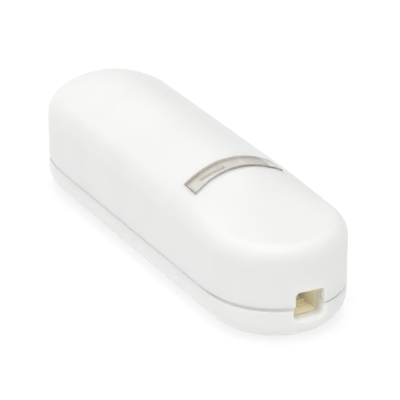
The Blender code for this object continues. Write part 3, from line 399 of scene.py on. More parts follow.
def shade(obj, angle=35.0):
    obj.data.shade_smooth()
    obj.data.set_sharp_from_angle(angle=math.radians(angle))
    weigh = obj.modifiers.new("WeightedNormal", "WEIGHTED_NORMAL")
    weigh.keep_sharp = True
    return settle(obj)


def frame_copy(name, node):
    """A welded copy of a node of the frame, with its flat faces whole again."""
    shape = bmesh.new()
    shape.from_mesh(frame["nodes"][node].data)
    bmesh.ops.remove_doubles(shape, verts=shape.verts, dist=0.001 * MM)
    bmesh.ops.dissolve_limit(shape, angle_limit=math.radians(0.5), verts=shape.verts, edges=shape.edges)
    return from_bmesh(name, shape, turn_out=False)


def place(obj, body, finish, replaced=()):
    """Gives a finished piece its material, the body it rides on and the nodes it stands for."""
    obj.data.materials.clear()
    obj.data.materials.append(finish)
    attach(obj, body)
    if replaced:
        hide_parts(*replaced)
    return obj


def refine(node, width, finish, segments=2, angle=30.0):
    """Stands a softened copy in for a node of the frame."""
    obj = round_edges(frame_copy(node + "_piece", node), width, segments, angle)
    return place(obj, BODY_OF_NODE[node], finish, (node,))


# Geometry Nodes helpers ------------------------------------------------------------------------


def new_tree(name, inputs):
    """A tree with a geometry input, named inputs and a geometry output, and its two end nodes."""
    tree = bpy.data.node_groups.new(name, "GeometryNodeTree")
    tree.interface.new_socket(name="Geometry", in_out="INPUT", socket_type="NodeSocketGeometry")
    for label, kind in inputs:
        tree.interface.new_socket(name=label, in_out="INPUT", socket_type=kind)
    tree.interface.new_socket(name="Geometry", in_out="OUTPUT", socket_type="NodeSocketGeometry")
    return tree, tree.nodes.new("NodeGroupInput"), tree.nodes.new("NodeGroupOutput")


def add_node(tree, kind, links=(), **settings):
    """Adds a node, sets its properties and joins sockets given as (input name, source socket or value)."""
    made = tree.nodes.new(kind)
    for name, value in settings.items():
        setattr(made, name, value)
    for name, source in links:
        if isinstance(source, bpy.types.NodeSocket):
            tree.links.new(source, made.inputs[name])
        else:
            made.inputs[name].default_value = source
    return made


def arithmetic(tree, operation, first, second):
    made = add_node(tree, "ShaderNodeMath", operation=operation)
    for socket, source in zip(made.inputs, (first, second)):
        if isinstance(source, bpy.types.NodeSocket):
            tree.links.new(source, socket)
        else:
            socket.default_value = source
    return made.outputs[0]


def end_tree(tree, geometry, material_socket, outlet):
    """Realises the instances, sets the material and closes the tree."""
    real = add_node(tree, "GeometryNodeRealizeInstances", [("Geometry", geometry)])
    smooth = add_node(tree, "GeometryNodeSetShadeSmooth", [("Geometry", real.outputs[0])])
    painted = add_node(tree, "GeometryNodeSetMaterial",
                       [("Geometry", smooth.outputs[0]), ("Material", material_socket)])
    tree.links.new(painted.outputs[0], outlet.inputs[0])


def grow(name, tree, mesh, values):
    """Runs a tree on a mesh with its inputs set, and returns the result as a plain mesh object."""
    seed = new_object(name + "_seed", mesh)
    step = seed.modifiers.new("Nodes", "NODES")
    step.node_group = tree
    sockets = {item.name: item.identifier for item in tree.interface.items_tree if item.in_out == "INPUT"}
    for label, value in values.items():
        step[sockets[label]] = value
    result = evaluated_mesh(seed)
    result.name = name
    drop(seed)
    return new_object(name, result)


def paths_mesh(name, paths):
    """A mesh of edges along each path of points."""
    mesh = bpy.data.meshes.new(name)
    points, edges = [], []
    for path in paths:
        start = len(points)
        points += [tuple(point) for point in path]
        edges += [(start + i, start + i + 1) for i in range(len(path) - 1)]
    mesh.from_pydata(points, edges, [])
    return mesh


def swept_wire_tree():
    """A round wire along a path of edges, with closed ends."""
    tree, inlet, outlet = new_tree("swept_wire", [("Wire Diameter", "NodeSocketFloat"),
                                                  ("Sides", "NodeSocketInt"),
                                                  ("Material", "NodeSocketMaterial")])
    line = add_node(tree, "GeometryNodeMeshToCurve", [("Mesh", inlet.outputs["Geometry"])])
    radius = arithmetic(tree, "DIVIDE", inlet.outputs["Wire Diameter"], 2.0)
    ring = add_node(tree, "GeometryNodeCurvePrimitiveCircle",
                    [("Resolution", inlet.outputs["Sides"]), ("Radius", radius)])
    tube = add_node(tree, "GeometryNodeCurveToMesh",
                    [("Curve", line.outputs[0]), ("Profile Curve", ring.outputs[0]), ("Fill Caps", True)])
    end_tree(tree, tube.outputs[0], inlet.outputs["Material"], outlet)
    return tree


def screw_tree():
    """A screw hanging down from its head's outer face: domed head, cross or slot recess, shank, thread."""
    tree, inlet, outlet = new_tree("threaded_screw", [
        ("Shank Radius", "NodeSocketFloat"), ("Length", "NodeSocketFloat"),
        ("Head Radius", "NodeSocketFloat"), ("Head Height", "NodeSocketFloat"),
        ("Pitch", "NodeSocketFloat"), ("Thread Depth", "NodeSocketFloat"),
        ("Arm Length", "NodeSocketFloat"), ("Cross Length", "NodeSocketFloat"),
        ("Arm Width", "NodeSocketFloat"), ("Material", "NodeSocketMaterial")])
    get = inlet.outputs

    def vector(x=0.0, y=0.0, z=0.0):
        made = add_node(tree, "ShaderNodeCombineXYZ")
        for socket, source in zip(made.inputs, (x, y, z)):
            if isinstance(source, bpy.types.NodeSocket):
                tree.links.new(source, socket)
            else:
                socket.default_value = source
        return made.outputs[0]

    def moved(geometry, offset):
        return add_node(tree, "GeometryNodeTransform",
                        [("Geometry", geometry), ("Translation", offset)]).outputs[0]

    plain = arithmetic(tree, "SUBTRACT", get["Length"], get["Head Height"])
    core_radius = arithmetic(tree, "SUBTRACT", get["Shank Radius"], get["Thread Depth"])
    tip = arithmetic(tree, "MULTIPLY", get["Shank Radius"], 0.9)
    core_length = arithmetic(tree, "SUBTRACT", plain, tip)
    core = add_node(tree, "GeometryNodeMeshCone",
                    [("Vertices", 24), ("Radius Top", core_radius), ("Radius Bottom", core_radius),
                     ("Depth", core_length)])
    core_low = arithmetic(tree, "MULTIPLY", arithmetic(tree, "ADD", get["Head Height"], core_length), -1.0)
    point_radius = arithmetic(tree, "MULTIPLY", core_radius, 0.35)
    point = add_node(tree, "GeometryNodeMeshCone",
                     [("Vertices", 24), ("Radius Top", core_radius), ("Radius Bottom", point_radius),
                      ("Depth", tip)])
    point_low = arithmetic(tree, "MULTIPLY", get["Length"], -1.0)

    turns = arithmetic(tree, "DIVIDE", core_length, get["Pitch"])
    helix = add_node(tree, "GeometryNodeCurveSpiral",
                     [("Resolution", 20), ("Rotations", turns), ("Start Radius", core_radius),
                      ("End Radius", core_radius), ("Height", core_length)])
    tooth = add_node(tree, "GeometryNodeCurvePrimitiveCircle",
                     [("Resolution", 4), ("Radius", get["Thread Depth"])])
    thread = add_node(tree, "GeometryNodeCurveToMesh",
                      [("Curve", helix.outputs[0]), ("Profile Curve", tooth.outputs[0]), ("Fill Caps", True)])

    rim = arithmetic(tree, "MULTIPLY", get["Head Height"], 0.6)
    dome = arithmetic(tree, "SUBTRACT", get["Head Height"], rim)
    crest = arithmetic(tree, "MULTIPLY", get["Head Radius"], 0.8)
    head = add_node(tree, "GeometryNodeMeshCone",
                    [("Vertices", 40), ("Radius Top", get["Head Radius"]),
                     ("Radius Bottom", get["Head Radius"]), ("Depth", rim)])
    cap = add_node(tree, "GeometryNodeMeshCone",
                   [("Vertices", 40), ("Radius Top", crest), ("Radius Bottom", get["Head Radius"]),
                    ("Depth", dome)])
    head_low = vector(z=arithmetic(tree, "MULTIPLY", get["Head Height"], -1.0))
    cap_low = vector(z=arithmetic(tree, "MULTIPLY", dome, -1.0))
    solid = add_node(tree, "GeometryNodeMeshBoolean", operation="UNION", solver="EXACT")
    tree.links.new(moved(head.outputs["Mesh"], head_low), solid.inputs["Mesh 2"])
    tree.links.new(moved(cap.outputs["Mesh"], cap_low), solid.inputs["Mesh 2"])
    depth = arithmetic(tree, "MULTIPLY", get["Head Height"], 1.1)
    arms = []
    for x, y in ((get["Arm Length"], get["Arm Width"]), (get["Arm Width"], get["Cross Length"])):
        arms.append(add_node(tree, "GeometryNodeMeshCube", [("Size", vector(x, y, depth))]))
    cut_head = add_node(tree, "GeometryNodeMeshBoolean", operation="DIFFERENCE", solver="EXACT")
    tree.links.new(solid.outputs[0], cut_head.inputs["Mesh 1"])
    for arm in arms:
        tree.links.new(arm.outputs["Mesh"], cut_head.inputs["Mesh 2"])

    joined = add_node(tree, "GeometryNodeJoinGeometry")
    low = vector(z=core_low)
    for part in (moved(core.outputs["Mesh"], low), moved(thread.outputs[0], low),
                 moved(point.outputs["Mesh"], vector(z=point_low)), cut_head.outputs[0]):
        tree.links.new(part, joined.inputs[0])
    end_tree(tree, joined.outputs[0], get["Material"], outlet)
    return tree


def pad_tree():
    """A low soldered cone on each point."""
    tree, inlet, outlet = new_tree("soldered_pads", [("Pad Radius", "NodeSocketFloat"),
                                                     ("Pad Height", "NodeSocketFloat"),
                                                     ("Material", "NodeSocketMaterial")])
    crest = arithmetic(tree, "MULTIPLY", inlet.outputs["Pad Radius"], 0.45)
    cone = add_node(tree, "GeometryNodeMeshCone",
                    [("Vertices", 20), ("Radius Top", crest), ("Radius Bottom", inlet.outputs["Pad Radius"]),
                     ("Depth", inlet.outputs["Pad Height"])])
    spread = add_node(tree, "GeometryNodeInstanceOnPoints",
                      [("Points", inlet.outputs["Geometry"]), ("Instance", cone.outputs["Mesh"])])
    end_tree(tree, spread.outputs[0], inlet.outputs["Material"], outlet)
    return tree


def track_tree():
    """A flat strip along each path, half sunk in the board."""
    tree, inlet, outlet = new_tree("board_tracks", [("Track Width", "NodeSocketFloat"),
                                                    ("Track Height", "NodeSocketFloat"),
                                                    ("Material", "NodeSocketMaterial")])
    line = add_node(tree, "GeometryNodeMeshToCurve", [("Mesh", inlet.outputs["Geometry"])])
    upright = add_node(tree, "GeometryNodeSetCurveNormal", [("Curve", line.outputs[0])], mode="Z_UP")
    section = add_node(tree, "GeometryNodeCurvePrimitiveQuadrilateral",
                       [("Width", inlet.outputs["Track Width"]), ("Height", inlet.outputs["Track Height"])])
    strip = add_node(tree, "GeometryNodeCurveToMesh",
                     [("Curve", upright.outputs[0]), ("Profile Curve", section.outputs[0]),
                      ("Fill Caps", True)])
    end_tree(tree, strip.outputs[0], inlet.outputs["Material"], outlet)
    return tree


# Finishes --------------------------------------------------------------------------------------


def new_finish(name, colour, roughness, **sockets):
    """A Principled material with its uniform values on its sockets, and its tree, shader and place."""
    made = bpy.data.materials.new(name)
    made.use_nodes = True
    tree = made.node_tree
    shader = tree.nodes["Principled BSDF"]
    shader.inputs["Base Color"].default_value = (*colour, 1.0)
    shader.inputs["Roughness"].default_value = roughness
    for label, value in sockets.items():
        shader.inputs[label.replace("_", " ")].default_value = value
    where = add_node(tree, "ShaderNodeTexCoord").outputs["Object"]
    return made, tree, shader, where


def noise(tree, where, scale, detail=3.0, roughness=0.55, stretch=None):
    if stretch:
        where = add_node(tree, "ShaderNodeMapping", [("Vector", where), ("Scale", stretch)]).outputs[0]
    made = add_node(tree, "ShaderNodeTexNoise",
                    [("Vector", where), ("Scale", scale), ("Detail", detail), ("Roughness", roughness)])
    return made.outputs["Fac"]


def tint(tree, shader, fac, dark, light, low=0.35, high=0.65):
    """Lets the base colour wander between two tones."""
    ramp = add_node(tree, "ShaderNodeValToRGB")
    ramp.color_ramp.elements[0].position = low
    ramp.color_ramp.elements[0].color = (*dark, 1.0)
    ramp.color_ramp.elements[1].position = high
    ramp.color_ramp.elements[1].color = (*light, 1.0)
    tree.links.new(fac, ramp.inputs["Fac"])
    tree.links.new(ramp.outputs["Color"], shader.inputs["Base Color"])
    return ramp


def mixed_colours(tree, shader, factor, base, other):
    """Turns the base colour from one socket or tone to another where a factor says."""
    mix = add_node(tree, "ShaderNodeMix", data_type="RGBA")
    tree.links.new(factor, mix.inputs["Factor"])
    first, second = [socket for socket in mix.inputs if socket.type == "RGBA"]
    if isinstance(base, tuple):
        first.default_value = (*base, 1.0)
    else:
        tree.links.new(base, first)
    second.default_value = (*other, 1.0)
    mixed = [socket for socket in mix.outputs if socket.type == "RGBA"][0]
    tree.links.new(mixed, shader.inputs["Base Color"])


def vary_gloss(tree, shader, fac, low, high):
    span = add_node(tree, "ShaderNodeMapRange", [("Value", fac), ("To Min", low), ("To Max", high)])
    tree.links.new(span.outputs["Result"], shader.inputs["Roughness"])


def relief(tree, shader, layers):
    """Chains bumps, each a (height, distance, strength)."""
    normal = None
    for height, distance, strength in layers:
        bump = add_node(tree, "ShaderNodeBump",
                        [("Height", height), ("Distance", distance), ("Strength", strength)])
        if normal is not None:
            tree.links.new(normal, bump.inputs["Normal"])
        normal = bump.outputs["Normal"]
    tree.links.new(normal, shader.inputs["Normal"])


def toned(colour, factor):
    return tuple(min(channel * factor, 1.0) for channel in colour)


def spot(tree, where, centre, radius):
    """1 at a point and 0 beyond a radius, as a socket."""
    away = add_node(tree, "ShaderNodeVectorMath", operation="DISTANCE")
    tree.links.new(where, away.inputs[0])
    away.inputs[1].default_value = centre
    return add_node(tree, "ShaderNodeMapRange",
                    [("Value", away.outputs["Value"]), ("From Min", radius), ("From Max", 0.4 * radius)],
                    interpolation_type="SMOOTHSTEP").outputs["Result"]


def moulded(name, colour, roughness, grain=2600.0, depth=0.012 * MM, marks=(), **sockets):
    """A moulded plastic: fine mould texture, slow flow tone and uneven gloss."""
    made, tree, shader, where = new_finish(name, colour, roughness, **sockets)
    fine = noise(tree, where, grain, 4.0, 0.6)
    slow = noise(tree, where, 55.0, 2.0, 0.5)
    tint(tree, shader, slow, toned(colour, 0.985), toned(colour, 1.012))
    vary_gloss(tree, shader, noise(tree, where, 320.0, 3.0), roughness - 0.05, roughness + 0.06)
    layers = [(slow, 0.05 * MM, 0.25), (fine, depth, 0.35)]
    layers += [(spot(tree, where, centre, radius), height, 1.0) for centre, radius, height in marks]
    relief(tree, shader, layers)
    return made


def plated(name, colour, roughness, scratch=1500.0, stretch=(1.0, 1.0, 0.12)):
    """A plated or bright metal with faint drawn lines."""
    made, tree, shader, where = new_finish(name, colour, roughness, Metallic=1.0)
    lines = noise(tree, where, scratch, 4.0, 0.65, stretch)
    cloud = noise(tree, where, 420.0, 3.0)
    tint(tree, shader, cloud, toned(colour, 0.88), toned(colour, 1.04))
    vary_gloss(tree, shader, lines, roughness - 0.07, roughness + 0.12)
    relief(tree, shader, [(lines, 0.006 * MM, 0.3)])
    return made


finishes = {}


def finish(name):
    """The named finish, made the first time it is asked for."""
    if name not in finishes:
        finishes[name] = MAKERS[name]()
    return finishes[name]


def housing_finish():
    settings = bpy.context.scene.switch_housing
    marks = [((32.0 * MM, -1.5 * MM, top_face(32.0 * MM, -1.5 * MM)), 0.5 * MM, 0.03 * MM),
             ((3.0 * MM, -4.8 * MM, top_face(3.0 * MM, -4.8 * MM)), 1.1 * MM, -0.012 * MM)]
    return moulded("housing_white_plastic", tuple(settings.colour), settings.roughness, marks=marks,
                   Subsurface_Weight=0.85, Subsurface_Scale=2.5 * MM, Subsurface_Radius=(1.0, 0.95, 0.88))


def light_guide_finish():
    settings = bpy.context.scene.switch_light_guide
    made, tree, shader, where = new_finish("light_guide_clear_plastic", tuple(settings.colour), 0.07,
                                           Transmission_Weight=0.88, IOR=1.49)
    flow = noise(tree, where, 420.0, 2.0, 0.5, (1.0, 0.3, 1.0))
    wander = tint(tree, shader, noise(tree, where, 150.0, 2.0), toned(settings.colour, 0.95),
                  toned(settings.colour, 1.04))
    flat = add_node(tree, "ShaderNodeVectorMath", operation="MULTIPLY")
    tree.links.new(where, flat.inputs[0])
    flat.inputs[1].default_value = (1.0, 1.0, 0.0)
    # Painted shade: the base colour turns darker in a band along the rear arc, where the rear wall shades the
    # clear moulding
    away = add_node(tree, "ShaderNodeVectorMath", operation="DISTANCE")
    tree.links.new(flat.outputs[0], away.inputs[0])
    away.inputs[1].default_value = (LENS_REAR_X + LENS_REAR_RADIUS, LENS_REAR_SHIFT, 0.0)
    band = add_node(tree, "ShaderNodeMapRange",
                    [("Value", away.outputs["Value"]), ("From Min", LENS_REAR_RADIUS - 1.3 * MM),
                     ("From Max", LENS_REAR_RADIUS - 0.8 * MM)], interpolation_type="SMOOTHSTEP")
    mixed_colours(tree, shader, band.outputs["Result"], wander.outputs["Color"], REAR_BAND_PAINTED_SHADE)
    vary_gloss(tree, shader, noise(tree, where, 900.0, 3.0), 0.04, 0.14)
    relief(tree, shader, [(flow, 0.05 * MM, 0.35)])
    return made


def light_box_finish():
    settings = bpy.context.scene.switch_light_guide
    made, tree, shader, where = new_finish("light_box_pale_plastic", tuple(settings.backing), 0.4)
    # Painted glow: warm emission on the light box, standing in for light that reaches it from inside the
    # housing
    shader.inputs["Emission Color"].default_value = (1.0, 0.93, 0.84, 1.0)
    shader.inputs["Emission Strength"].default_value = settings.box_glow
    wander = tint(tree, shader, noise(tree, where, 500.0, 4.0, 0.6), toned(settings.backing, 0.86),
                  toned(settings.backing, 1.1), 0.3, 0.7)
    # Painted shade: the groove and the strip beside it are darkened to stand in for the shade in the recess
    split = add_node(tree, "ShaderNodeSeparateXYZ", [("Vector", where)])
    shares = []
    for axis, middle, fade, full in (("X", GROOVE_X, 0.6 * MM, 0.15 * MM),
                                     ("Y", GROOVE_Y, 3.2 * MM, 2.3 * MM)):
        offset = arithmetic(tree, "SUBTRACT", split.outputs[axis], middle)
        away = arithmetic(tree, "ABSOLUTE", offset, 0.0)
        share = add_node(tree, "ShaderNodeMapRange",
                         [("Value", away), ("From Min", fade), ("From Max", full)],
                         interpolation_type="SMOOTHSTEP")
        shares.append(share.outputs["Result"])
    groove_shade_share = arithmetic(tree, "MULTIPLY", *shares)
    mixed_colours(tree, shader, groove_shade_share, wander.outputs["Color"], GROOVE_PAINTED_SHADE)
    vary_gloss(tree, shader, noise(tree, where, 1200.0), 0.25, 0.5)
    relief(tree, shader, [(noise(tree, where, 2200.0), 0.03 * MM, 0.5)])
    return made


def board_finish():
    settings = bpy.context.scene.switch_board
    colour = tuple(settings.mask_colour)
    made, tree, shader, where = new_finish("board_solder_mask", colour, 0.28, Coat_Weight=0.4,
                                           Coat_Roughness=0.15)
    weave = add_node(tree, "ShaderNodeTexBrick",
                     [("Vector", where), ("Scale", 900.0), ("Mortar Size", 0.03)])
    weave.offset = 0.5
    tint(tree, shader, noise(tree, where, 240.0, 3.0), toned(colour, 0.8), toned(colour, 1.25))
    vary_gloss(tree, shader, noise(tree, where, 700.0), 0.2, 0.36)
    relief(tree, shader, [(weave.outputs["Fac"], 0.006 * MM, 0.25)])
    return made


def track_finish():
    settings = bpy.context.scene.switch_board
    colour = toned(settings.mask_colour, 1.8)
    made, tree, shader, where = new_finish("board_track_under_mask", colour, 0.25, Coat_Weight=0.4,
                                           Coat_Roughness=0.15)
    tint(tree, shader, noise(tree, where, 300.0, 3.0), toned(colour, 0.85), toned(colour, 1.15))
    relief(tree, shader, [(noise(tree, where, 2400.0), 0.006 * MM, 0.3)])
    return made


def solder_finish():
    made, tree, shader, where = new_finish("solder", (0.72, 0.73, 0.74), 0.22, Metallic=1.0)
    tint(tree, shader, noise(tree, where, 900.0, 3.0), (0.6, 0.61, 0.63), (0.82, 0.83, 0.84))
    vary_gloss(tree, shader, noise(tree, where, 1500.0), 0.14, 0.34)
    relief(tree, shader, [(noise(tree, where, 1100.0, 2.0), 0.03 * MM, 0.5)])
    return made


def winding_finish():
    made, tree, shader, where = new_finish("enamelled_copper_wire", (0.62, 0.22, 0.08), 0.25, Metallic=1.0,
                                           Coat_Weight=0.7, Coat_Roughness=0.12)
    tint(tree, shader, noise(tree, where, 600.0, 3.0), (0.5, 0.16, 0.05), (0.74, 0.29, 0.11))
    relief(tree, shader, [(noise(tree, where, 3000.0), 0.004 * MM, 0.3)])
    return made


def sleeve_finish():
    """A shrunk sleeve over a can, with the pale stripe that marks the negative lead."""
    made, tree, shader, where = new_finish("capacitor_sleeve", (0.035, 0.045, 0.075), 0.22, Coat_Weight=0.3,
                                           Coat_Roughness=0.1)
    low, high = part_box("smoothing_capacitor")
    centre = (low + high) / 2
    middled = add_node(tree, "ShaderNodeVectorMath", operation="SUBTRACT")
    tree.links.new(where, middled.inputs[0])
    middled.inputs[1].default_value = (centre.x, centre.y, 0.0)
    split = add_node(tree, "ShaderNodeSeparateXYZ", [("Vector", middled.outputs[0])])
    turn = arithmetic(tree, "ARCTAN2", split.outputs["Y"], split.outputs["X"])
    stripe = add_node(tree, "ShaderNodeMapRange",
                      [("Value", arithmetic(tree, "ABSOLUTE", arithmetic(tree, "ADD", turn, 0.9), 0.0)),
                       ("From Min", 0.42), ("From Max", 0.38)]).outputs["Result"]
    mixed_colours(tree, shader, stripe, (0.035, 0.045, 0.075), (0.45, 0.48, 0.52))
    vary_gloss(tree, shader, noise(tree, where, 500.0), 0.16, 0.3)
    relief(tree, shader, [(noise(tree, where, 700.0, 2.0), 0.02 * MM, 0.25)])
    return made


def banded_resistor_finish():
    """Tan lacquer with plain colour bands round the body."""
    made, tree, shader, where = new_finish("resistor_lacquer", (0.55, 0.38, 0.18), 0.3)
    low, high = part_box("dropper_resistor")
    centre_x = (low.x + high.x) / 2
    split = add_node(tree, "ShaderNodeSeparateXYZ", [("Vector", where)])
    along = arithmetic(tree, "SUBTRACT", split.outputs["X"], centre_x)
    ramp = add_node(tree, "ShaderNodeValToRGB")
    span = add_node(tree, "ShaderNodeMapRange",
                    [("Value", along), ("From Min", -3.2 * MM), ("From Max", 3.2 * MM)])
    tree.links.new(span.outputs["Result"], ramp.inputs["Fac"])
    ramp.color_ramp.interpolation = "CONSTANT"
    tan = (0.55, 0.38, 0.18, 1.0)
    bands = [(0.0, tan), (0.16, (0.42, 0.08, 0.04, 1.0)), (0.24, tan), (0.36, (0.03, 0.03, 0.03, 1.0)),
             (0.43, tan), (0.53, (0.7, 0.45, 0.05, 1.0)), (0.6, tan), (0.78, (0.6, 0.45, 0.15, 1.0)),
             (0.85, tan)]
    ramp.color_ramp.elements[0].position, ramp.color_ramp.elements[0].color = bands[0]
    ramp.color_ramp.elements[1].position, ramp.color_ramp.elements[1].color = bands[-1]
    for position, colour in bands[1:-1]:
        ramp.color_ramp.elements.new(position).color = colour
    tree.links.new(ramp.outputs["Color"], shader.inputs["Base Color"])
    vary_gloss(tree, shader, noise(tree, where, 800.0), 0.22, 0.4)
    relief(tree, shader, [(noise(tree, where, 1200.0, 2.0), 0.02 * MM, 0.4)])
    return made


def coated(name, colour, roughness, lump=900.0, depth=0.03 * MM):
    """A dipped or cast coating: glossy, with slow lumps."""
    made, tree, shader, where = new_finish(name, colour, roughness)
    tint(tree, shader, noise(tree, where, 260.0, 3.0), toned(colour, 0.88), toned(colour, 1.1))
    vary_gloss(tree, shader, noise(tree, where, 640.0), roughness - 0.06, roughness + 0.08)
    relief(tree, shader, [(noise(tree, where, lump, 2.0), depth, 0.4)])
    return made


MAKERS = {
    "housing": housing_finish,
    "light_guide": light_guide_finish,
    "light_box": light_box_finish,
    "board": board_finish,
    "track": track_finish,
    "solder": solder_finish,
    "winding": winding_finish,
    "sleeve": sleeve_finish,
    "resistor": banded_resistor_finish,
    "cream": lambda: moulded("cord_grip_cream_nylon", (0.93, 0.86, 0.65), 0.42, 2200.0, 0.02 * MM,
                             Subsurface_Weight=0.6, Subsurface_Scale=2.0 * MM,
                             Subsurface_Radius=(1.0, 0.9, 0.7)),
    "grey": lambda: moulded("terminal_grey_plastic", (0.34, 0.36, 0.37), 0.45, 2400.0, 0.02 * MM),
    "relay_case": lambda: moulded("relay_case_plastic", (0.02, 0.055, 0.17), 0.3, 1900.0),
    "black": lambda: moulded("black_frame_plastic", (0.022, 0.022, 0.025), 0.42, 2300.0, 0.02 * MM),
    "package": lambda: moulded("black_package_compound", (0.018, 0.018, 0.02), 0.5, 3200.0, 0.03 * MM),
    "led": lambda: moulded("indicator_white_package", (0.82, 0.8, 0.72), 0.35, 2600.0),
    "film": lambda: coated("film_capacitor_yellow_case", (0.62, 0.4, 0.03), 0.28, 700.0, 0.015 * MM),
    "varistor": lambda: coated("varistor_blue_coating", (0.035, 0.11, 0.36), 0.32, 1000.0, 0.05 * MM),
    "fuse": lambda: coated("fuse_brown_case", (0.08, 0.055, 0.045), 0.34, 1200.0),
    "screw": lambda: plated("screw_zinc_plate", (0.68, 0.69, 0.71), 0.26),
    "brass": lambda: plated("terminal_tinned_brass", (0.74, 0.66, 0.46), 0.28, 1300.0, (0.15, 1.0, 1.0)),
    "iron": lambda: plated("relay_nickel_plate", (0.62, 0.61, 0.59), 0.24, 1300.0, (0.15, 1.0, 1.0)),
    "copper": lambda: plated("bare_copper", (0.78, 0.4, 0.26), 0.3, 1300.0, (0.2, 1.0, 1.0)),
    "spring": lambda: plated("spring_wire", (0.7, 0.69, 0.66), 0.22, 2200.0, (1.0, 1.0, 1.0)),
    "can_top": lambda: plated("capacitor_can_aluminium", (0.78, 0.79, 0.8), 0.3, 1200.0, (1.0, 1.0, 1.0)),
}


# Housing ---------------------------------------------------------------------------------------


CAP_STEPS = 56
RUN_STEPS = 66


def outline(inset):
    """The plan drawn in by an inset, with even points along the straights."""
    radius = HALF_WIDTH - inset
    run = [-CAP_X + 2 * CAP_X * (i + 1) / (RUN_STEPS + 1) for i in range(RUN_STEPS)]
    caps = [math.pi * (i / CAP_STEPS - 0.5) for i in range(CAP_STEPS + 1)]
    points = [(CAP_X + radius * math.cos(t), radius * math.sin(t)) for t in caps]
    points += [(x, radius) for x in reversed(run)]
    points += [(-CAP_X - radius * math.cos(t), -radius * math.sin(t)) for t in caps]
    points += [(x, -radius) for x in run]
    return points


def ring_at(inset, height):
    """One ring, at a height or draped on a surface."""
    if callable(height):
        return [(x, y, height(x, y)) for x, y in outline(inset)]
    return [(x, y, height) for x, y in outline(inset)]


def rim_height(x, y):
    """Lower edge of the cover. It lifts round the ends, less so on one side of the cord entry."""
    gap = bpy.context.scene.switch_housing.seam_gap
    side = 1.0 - 0.6 * ease((y + 1.0 * MM) / (6.0 * MM))
    return SEAM_HEIGHT + gap / 2 + RIM_END_GAP * side * ease((abs(x) - RIM_STEP_X) / RIM_STEP_RUN)


def arc_x(rear, inset, y):
    """Where the rear or front arc of the light guide's band lies, drawn in by an inset."""
    middle = LENS_REAR_X + inset if rear else LENS_FRONT_X - inset
    radius = LENS_REAR_RADIUS - inset if rear else LENS_FRONT_RADIUS + inset
    across = y - LENS_REAR_SHIFT if rear else y
    return middle + radius - math.sqrt(radius**2 - across**2)


def band_edge(rear, inset, steps=40):
    """Points along the rear or front edge of the light guide's band, drawn in by an inset."""
    low, high = LENS_RIGHT_Y + inset, LENS_LEFT_Y - inset
    levels = [low + (high - low) * i / steps for i in range(steps + 1)]
    return [(arc_x(rear, inset, y), y) for y in levels]


def window_cutter(edge):
    """Cuts the light guide's window, and rounds its edge along the crown."""
    def ring(offset, height):
        return [(x, y, height(x, y)) for x, y in band_edge(True, -offset) + band_edge(False, -offset)[::-1]]

    rings = [ring(0.0, lambda x, y: WALL_TOP - 3.0 * MM)]
    rings += [ring(out, lambda x, y, d=down: top_face(x, y) - d) for out, down in quarter(edge, 4)]
    rings.append(ring(edge, lambda x, y: BODY_HEIGHT + 2.0 * MM))
    return loft("window_cutter", rings, capped=True)


def entry_cutter(direction, edge):
    """Cuts a cord entry, and rounds its mouth along the curved end wall."""
    def profile(offset):
        points = []
        radius = ENTRY_ROUND + offset
        for side, level, start in ((1, 1, 0.0), (-1, 1, 90.0), (-1, -1, 180.0), (1, -1, 270.0)):
            y = side * (ENTRY_HALF - ENTRY_ROUND)
            z = ENTRY_TOP - ENTRY_ROUND if level > 0 else ENTRY_BOTTOM + ENTRY_ROUND
            for i in range(9):
                turn = math.radians(start + 90.0 * i / 8)
                points.append((y + radius * math.cos(turn), z + radius * math.sin(turn)))
        return points

    def wall(y):
        return CAP_X + math.sqrt(HALF_WIDTH**2 - y**2)

    rings = [[(direction * (HALF_LENGTH - BASE_WALL - 1.5 * MM), y, z) for y, z in profile(0.0)]]
    for out, down in quarter(edge, 5):
        rings.append([(direction * (wall(y) - down), y, z) for y, z in profile(out)])
    rings.append([(direction * (wall(y) + 1.0 * MM), y, z) for y, z in profile(edge)])
    return loft("entry_cutter", rings, capped=True)


def make_upper_shell():
    settings = bpy.context.scene.switch_housing
    rim_round = settings.rim_round
    inner = [SHELL_WALL + (HALF_WIDTH - SHELL_WALL) * i / 12 for i in range(13)]
    rings = [ring_at(inset, ceiling) for inset in reversed(inner)]
    rings.append(ring_at(SHELL_WALL, rim_height))
    rings += [ring_at(down, lambda x, y, up=out: rim_height(x, y) + up)
              for out, down in quarter(rim_round, 4)]
    rings += [ring_at(0.0, height) for height in (9.5 * MM, 13.0 * MM, 16.0 * MM)]
    rings += [ring_at(inset, top_face) for inset, _ in quarter(TOP_ROUND, 10)]
    steps = 14
    rings += [ring_at(TOP_ROUND + (HALF_WIDTH - TOP_ROUND) * i / steps, top_face)
              for i in range(1, steps + 1)]
    shell = loft("upper_shell_piece", rings)
    combine(shell, [rod("boss", 2.4 * MM, SEAT, ceiling(x, y) + 1.0 * MM, (x, y, 0)) for x, y in PILLARS],
            "UNION")
    cutters = [rod("bore", 1.4 * MM, SEAT - 1.0 * MM, 14.6 * MM, (x, y, 0), 32) for x, y in PILLARS]
    cutters.append(window_cutter(settings.window_round))
    cutters += [entry_cutter(direction, settings.entry_round) for _, direction in ENDS]
    combine(shell, cutters, "DIFFERENCE")
    return place(shade(shell), "cover", finish("housing"), ("upper_shell",))


